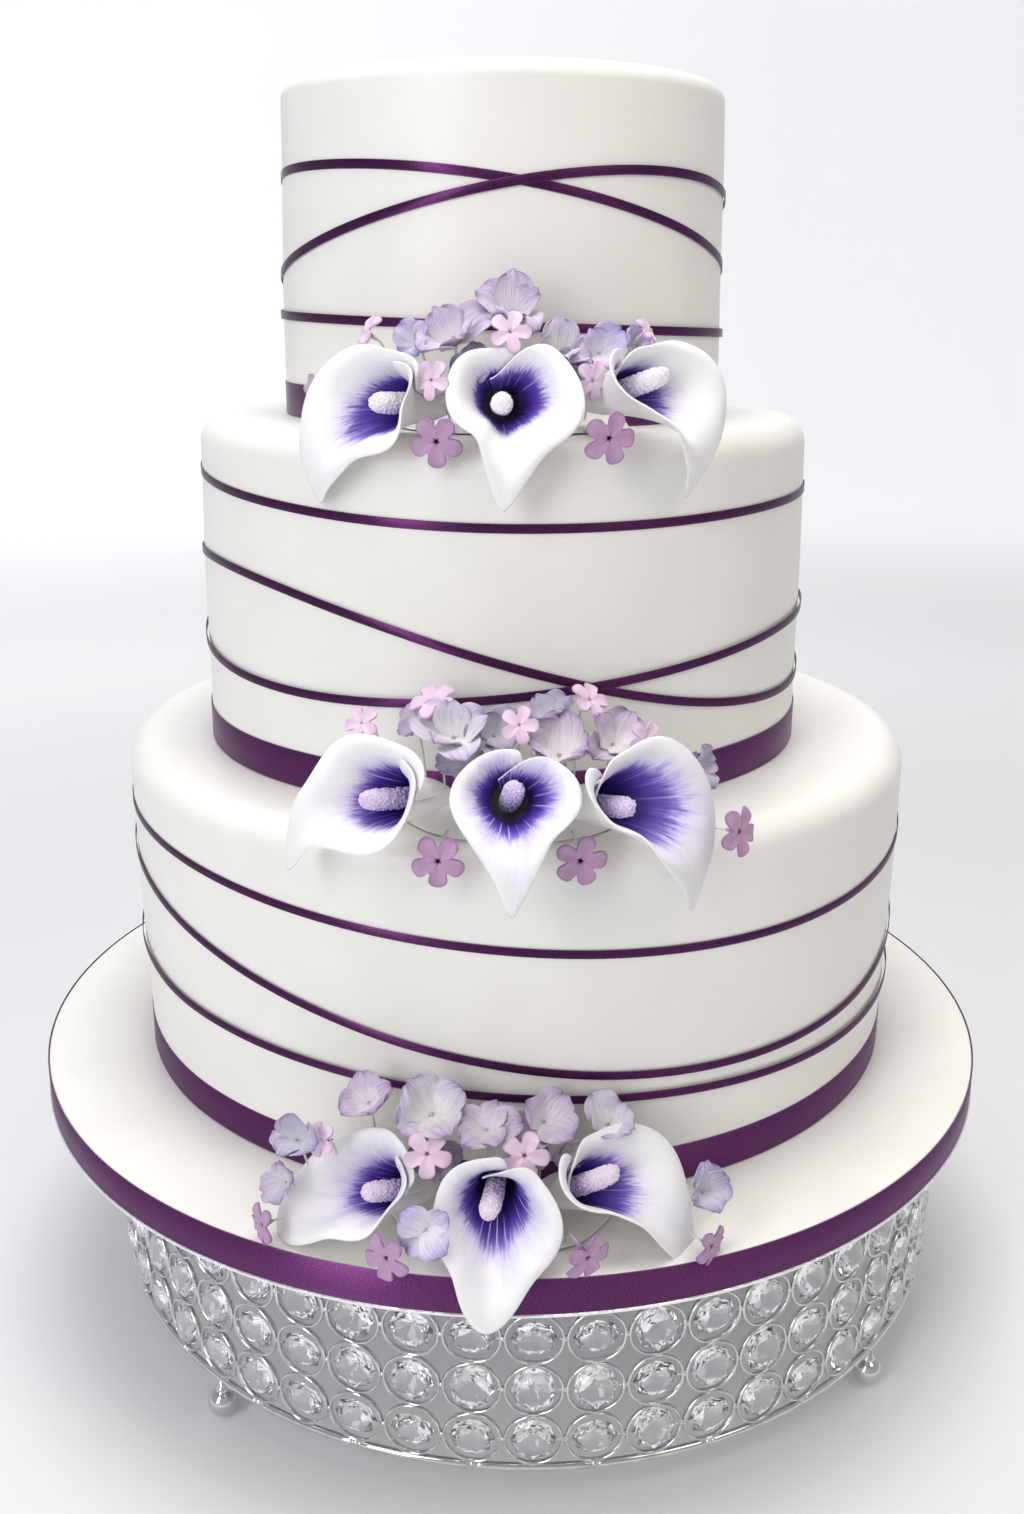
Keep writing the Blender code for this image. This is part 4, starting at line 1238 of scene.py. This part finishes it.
# a blossom's body, its edge, and the painted shade in the hollow of its throat
BLOSSOM_DUST_AND_THROAT_SHADE = {
    "pink": ((0.80, 0.62, 0.77), (0.64, 0.44, 0.64), (0.50, 0.30, 0.40)),
    "mauve": ((0.50, 0.31, 0.48), (0.30, 0.17, 0.34), (0.04, 0.02, 0.04)),
}
finishes = {name: hydrangea_material(f"{name} hydrangea", *dust) for name, dust in HYDRANGEA_DUSTING.items()}
finishes.update({name: blossom_material(f"{name} blossom", *dust) for name, dust in BLOSSOM_DUST_AND_THROAT_SHADE.items()})
wire_starts = []  # ledge, where the wire leaves the flower's back, and which way is backwards
further = {"hydrangea": 0, "blossom": 0}  # how many of each have no solid of their own


def keep_flower(kind, sheets, matrix, ledge, solid, closed, thickness, finish, slot, wire_z):
    """Keeps one small flower. Its solid is a number, or 0 where the part has no solid for it."""
    meshes = [sheet_mesh(kind, into_place(grid, matrix), uvs, closed) for grid, uvs in sheets]
    further[kind] += not solid
    name = f"petals_of_{kind}_{ledge}_{solid}" if solid else f"further_{kind}_{further[kind]}"
    nodes = [f"{kind}_{ledge}_{solid}"] if solid else []
    keep_fleshed(name, merged(kind, meshes), thickness, (finishes[finish],), slot, *nodes)
    backwards = -(matrix.to_3x3() @ Vector((0, 0, 1))).normalized()
    wire_starts.append((ledge, matrix @ Vector((0, 0, wire_z)), backwards))


# %% The hydrangeas
HYDRANGEA_RADIUS = 12.5 * MM
# ledge, place, facing, turn, size, petals, cup, finish, and the number of its solid
HYDRANGEAS = (
    ("top", (-20.5, 103, 30), (-14, 38), 40, 1.13, 4, 0.83, "lilac", 1),
    ("top", (-1.2, 98, 38.5), (6, 34), 35, 1.07, 5, 0.78, "lilac", 2),
    ("top", (14, 104, 26), (12, 34), 0, 0.86, 4, 0.8, "white", 3),
    ("top", (27.3, 100, 25.5), (16, 34), 30, 0.84, 4, 0.85, "blue", 4),
    ("top", (-65.5, 94, 14), (-50, 0), 20, 0.5, 4, 0.6, "lilac", 0),
    ("top", (-32, 104, 29), (-35, 30), 60, 0.66, 4, 0.7, "blue", 0),
    ("top", (38, 99, 27.5), (45, 30), 10, 0.66, 4, 0.8, "blue", 0),
    ("middle", (-20.3, 147, 33), (-8, 51), 38, 1.16, 5, 0.8, "white", 1),
    ("middle", (14, 149, 27.5), (5, 56), 35, 1.16, 5, 0.78, "plum", 2),
    ("middle", (31.5, 146, 30.5), (20, 53), 40, 1.02, 4, 0.88, "plum", 3),
    ("middle", (10.6, 139, 38.5), (0, 60), 40, 0.75, 4, 0.78, "grey", 0),
    ("middle", (60.5, 140, 21.5), (50, 25), 0, 0.7, 4, 0.75, "grey", 0),
    ("middle", (-33, 138, 34.7), (-35, 30), 30, 0.6, 4, 0.7, "lilac", 0),
    ("middle", (-7.4, 143, 32.5), (15, 50), 30, 0.86, 4, 0.83, "grey", 0),
    ("bottom", (-49, 169, 44.5), (-15, 53), 35, 0.9, 4, 0.83, "lilac", 1),
    ("bottom", (-28, 172, 41.5), (0, 57), 40, 1.2, 4, 0.88, "white", 2),
    ("bottom", (-9.7, 176.5, 38.5), (5, 55), 20, 0.92, 5, 0.53, "lilac", 3),
    ("bottom", (9.5, 170, 37.5), (10, 55), 45, 1.03, 4, 0.8, "lilac", 4),
    ("bottom", (31.5, 167.5, 35), (20, 55), 30, 0.9, 4, 0.83, "white", 5),
    ("bottom", (-72, 180, 37), (-40, 50), 10, 0.86, 4, 0.88, "grey", 0),
    ("bottom", (-76, 180, 21.5), (-45, 20), 35, 0.72, 4, 0.75, "lilac", 0),
    ("bottom", (-28.6, 202, 18.8), (-10, 24), 45, 0.78, 4, 0.3, "blue", 0),
    ("bottom", (61.5, 185, 20.5), (38, 30), 0, 0.85, 4, 0.85, "grey", 0),
    ("bottom", (18.5, 171, 27), (10, 20), 20, 0.5, 4, 0.6, "white", 0),
    ("top", (-13, 104, 21), (-15, 25), 15, 0.7, 4, 0.7, "grey", 0),
    ("top", (17.5, 103, 20), (15, 25), 50, 0.7, 4, 0.7, "grey", 0),
    ("middle", (-18, 143, 24), (-10, 30), 15, 0.7, 4, 0.7, "grey", 0),
    ("bottom", (-26, 176, 29), (-10, 35), 15, 0.75, 4, 0.7, "grey", 0),
    ("bottom", (4, 173, 29), (5, 35), 50, 0.75, 4, 0.7, "grey", 0),
)
for number, (ledge, place, facing, turn, size, petals, cup, finish, solid) in enumerate(HYDRANGEAS):
    sheets = hydrangea_petals(petals, HYDRANGEA_RADIUS, cup, 1.9 * number)
    sheets.append(flower_eye(0.07 * HYDRANGEA_RADIUS, 0.16 * HYDRANGEA_RADIUS))
    keep_flower("hydrangea", sheets, setting(ledge, place, facing, turn, size), ledge, solid, False,
                0.5 * MM, finish, "sugar_lilac", 0.02 * HYDRANGEA_RADIUS)

# %% The small blossoms
BLOSSOM_RADIUS = 7.9 * MM
BLOSSOM_TAIL, SHORT_TAIL = 9 * MM, 4.5 * MM
# ledge, place, facing, turn, size, finish, and the number of its solid
BLOSSOMS = (
    ("top", (-27.2, 119, 18.2), (-20, 10), 0, 0.85, "pink", 1),
    ("top", (-2.1, 113, 33), (0, 15), 15, 0.9, "pink", 2),
    ("top", (-25.6, 128, -0.3), (-10, -5), 0, 1.1, "mauve", 3),
    ("top", (29.6, 127, 0.8), (22, -10), 20, 1.12, "mauve", 4),
    ("top", (-49, 100, 32), (-80, 30), 0, 0.95, "pink", 0),
    ("top", (24.5, 115, 18), (35, 5), 10, 0.85, "pink", 0),
    ("top", (43, 102, 33), (70, 30), 0, 0.65, "pink", 0),
    ("middle", (-50.5, 142, 37), (-35, 30), 0, 0.8, "pink", 1),
    ("middle", (1, 154, 40), (0, 20), 15, 0.82, "pink", 2),
    ("middle", (-25, 168, -1.2), (-5, 0), 0, 1.12, "mauve", 3),
    ("middle", (20.5, 168, -1), (5, 0), 20, 1.12, "mauve", 4),
    ("middle", (-27, 140, 44), (-20, 60), 0, 1.05, "pink", 0),
    ("middle", (24, 142, 45), (40, 40), 0, 0.9, "pink", 0),
    ("middle", (42, 150, 34), (25, 20), 0, 0.8, "pink", 0),
    ("middle", (72, 160, 6), (50, 5), 0, 1.1, "mauve", 0),
    ("bottom", (-29, 185, 35.4), (0, 20), 0, 1.05, "pink", 1),
    ("bottom", (3, 184, 34), (0, 20), 15, 1.08, "pink", 2),
    ("bottom", (-41.3, 206, 11), (-30, -5), 0, 1.08, "mauve", 3),
    ("bottom", (22.8, 206, 11), (28, -10), 20, 1.1, "mauve", 4),
    ("bottom", (-84, 185, 8.5), (-50, 5), 0, 0.95, "mauve", 0),
    ("bottom", (-64, 182, 39), (-40, 20), 0, 0.75, "pink", 0),
    ("bottom", (64.5, 192, 5), (45, 0), 0, 0.95, "mauve", 0),
)
for number, (ledge, place, facing, turn, size, finish, solid) in enumerate(BLOSSOMS):
    tail = BLOSSOM_TAIL if solid else SHORT_TAIL
    sheets = [blossom_grid(BLOSSOM_RADIUS, tail, 2.3 * number)]
    keep_flower("blossom", sheets, setting(ledge, place, facing, turn, size), ledge, solid, True,
                0.8 * MM, finish, "sugar_mauve", -0.95 * tail)

# %% [markdown]
# ## The paste pads and the wires
#
# A soft mound of sugar paste lies behind each spray, against the tier. Its solid already keeps clear of the
# callas' tubes, so its own points are merged, pressed a little flatter, and softened by a Subdivision
# Surface. Every small flower is taped to a thin green-grey wire, which is bent back and down to the paste or
# the icing behind it, and ends in it or about a millimetre above. One tree sweeps a round section along all
# of the bent paths at once.

# %% The pads
PAD_HEIGHT = 0.72  # of the solid's height, as soft paste sags
for ledge, ledge_z in ledges.items():
    shape = bmesh.new()
    shape.from_mesh(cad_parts[f"paste_pad_{ledge}"].data)
    bmesh.ops.remove_doubles(shape, verts=shape.verts, dist=1e-6)
    for vert in shape.verts:
        vert.co.z = ledge_z + LIFT + (vert.co.z - ledge_z - LIFT) * PAD_HEIGHT
    mesh = mesh_of("pad", shape)
    mesh.materials.append(fondant)
    piece = add_object(f"soft_paste_pad_{ledge}", mesh)
    softened(piece, 3)
    worn = piece.modifiers.new("Worn", "SMOOTH")
    worn.factor, worn.iterations = 0.5, 40
    settled(piece).data.shade_smooth()
    keep(piece, "fondant", f"paste_pad_{ledge}")

# %% The wire tree
wire_tree, taken = new_tree("Bent wires", "GeometryNodeTree", Radius=0.0004, Sides=6, Material=None)
paths = node(wire_tree, "GeometryNodeMeshToCurve", Mesh=taken["Geometry"])
section = node(
    wire_tree, "GeometryNodeCurvePrimitiveCircle", Resolution=taken["Sides"], Radius=taken["Radius"])
give_painted(wire_tree, taken, node(
    wire_tree, "GeometryNodeCurveToMesh", Curve=paths, Profile_Curve=section, Fill_Caps=True))

# %% The wires
florist_wire, tree = new_material("florist wire", Roughness=0.6, Base_Color=(0.62, 0.66, 0.58))
WIRE_STEPS = 10
WIRE_REACH, WIRE_BEND = 14 * MM, 4 * MM  # how far back a wire's end is, and how soon the wire bends
points, edges = [], []
for ledge, start, backwards in wire_starts:
    goal = start + Vector((-start.x, -start.y, 0)).normalized() * WIRE_REACH
    goal.z = ledges[ledge] + 1 * MM
    bend = start + backwards * WIRE_BEND
    bend.z = max(bend.z, ledges[ledge] + WIRE_BEND)
    edges += [(len(points) + i, len(points) + i + 1) for i in range(WIRE_STEPS)]
    for t in (i / WIRE_STEPS for i in range(WIRE_STEPS + 1)):
        points.append(start * (1 - t) ** 2 + bend * 2 * t * (1 - t) + goal * t**2)
keep(grown("flower_wires", wire_tree, mesh_from("paths", points, edges=edges),
           Radius=0.4 * MM, Sides=6, Material=florist_wire), "sugar_white")

# %% [markdown]
# ## Floor and light
#
# A pale floor that curves up into a wall far behind makes a plain backdrop from every side. Its faint glow is
# painted light: it rises from the stand outwards and is stronger on the left, it is strongest far off, and it
# is less in front and at the sides, so that the crystals and the satin have something dark to mirror. The
# light is
# soft: a tall, narrow panel at the front left, which the satin mirrors as one bright stretch, a weaker warm
# one on the right, one overhead, and a white sky for the rest.

# %% Floor
FLOOR_RADIUS, SWEEP, WALL_HEIGHT = 2.2, 1.3, 3.4
FAINTEST = 0.16
backdrop, tree = new_material(
    "backdrop", Roughness=0.9, Emission_Strength=0.64, Base_Color=(0.67, 0.675, 0.69))
place = coordinates(tree)
parts = split(place)
x, y = parts[0], parts[1]
away = node(tree, "ShaderNodeVectorMath", place, operation="LENGTH")["Value"]
behind = remap(y, -1.5, 1.0, 0.3, 1.0)
beside = remap(sum_of("ABSOLUTE", x), 1.2, 1.7, 1.0, 0.15, smooth=True)
# painted light: the floor's glow rises from the stand outwards, and is stronger on the left, on the key
# panel's side
near = remap(x, -0.7, 0.7, 1.4, 0.92) * remap(away, 0.45, 1.3, FAINTEST, 0.42, smooth=True)
far = remap(away, 1.3, 2.5, 0.0, 0.37, smooth=True)
painted_glow = sum_of("MAXIMUM", (near + far) * (behind * beside), FAINTEST)
set_shader(backdrop, Emission_Color=blend(painted_glow, (0, 0, 0), (0.98, 0.99, 1.0)))

profile = [(FLOOR_RADIUS * share, 0.0) for share in (0, 0.1, 0.3, 0.6, 0.9)]
profile += arc(FLOOR_RADIUS, SWEEP, SWEEP, -90, 0, 16)
profile += [(FLOOR_RADIUS + SWEEP, WALL_HEIGHT), (0.0, WALL_HEIGHT)]
points, faces = spun(profile, 64)
# open above, and seen from inside
faces = [tuple(reversed(face)) for face in faces if len(points) - 1 not in face]
floor = add_object("floor", mesh_from("floor", points[:-1], faces))
floor.data.transform(Matrix.Translation((0, 0, -0.2 * MM)))
floor.data.materials.append(backdrop)


# %% Light
def soft_panel(name, place, shape, size, watts, colour=(1, 1, 1), height=0.25):
    data = bpy.data.lights.new(name, "AREA")
    data.shape, data.size, data.size_y, data.energy, data.color = shape, size, height, watts, colour
    lamp = bpy.data.objects.new(name, data)
    bpy.context.scene.collection.objects.link(lamp)
    lamp.location = place
    lamp.rotation_euler = (LIT_POINT - Vector(place)).to_track_quat("-Z", "Y").to_euler()


LIT_POINT = Vector((0, 0, 0.25))
soft_panel("key panel", (-0.74, -1.13, 0.80), "RECTANGLE", 0.40, 8.2, height=1.2)
soft_panel("fill panel", (0.72, -0.60, 1.20), "DISK", 0.6, 2.4, (1.0, 0.83, 0.60))
soft_panel("overhead panel", (0.0, 0.0, 1.7), "DISK", 1.0, 18.0)
world = bpy.data.worlds.new("white room")
world.use_nodes = True
sky = world.node_tree.nodes["Background"].inputs
sky["Color"].default_value, sky["Strength"].default_value = (0.97, 0.98, 1.0, 1), 0.35
bpy.context.scene.world = world
bpy.context.scene.view_settings.view_transform = "Standard"
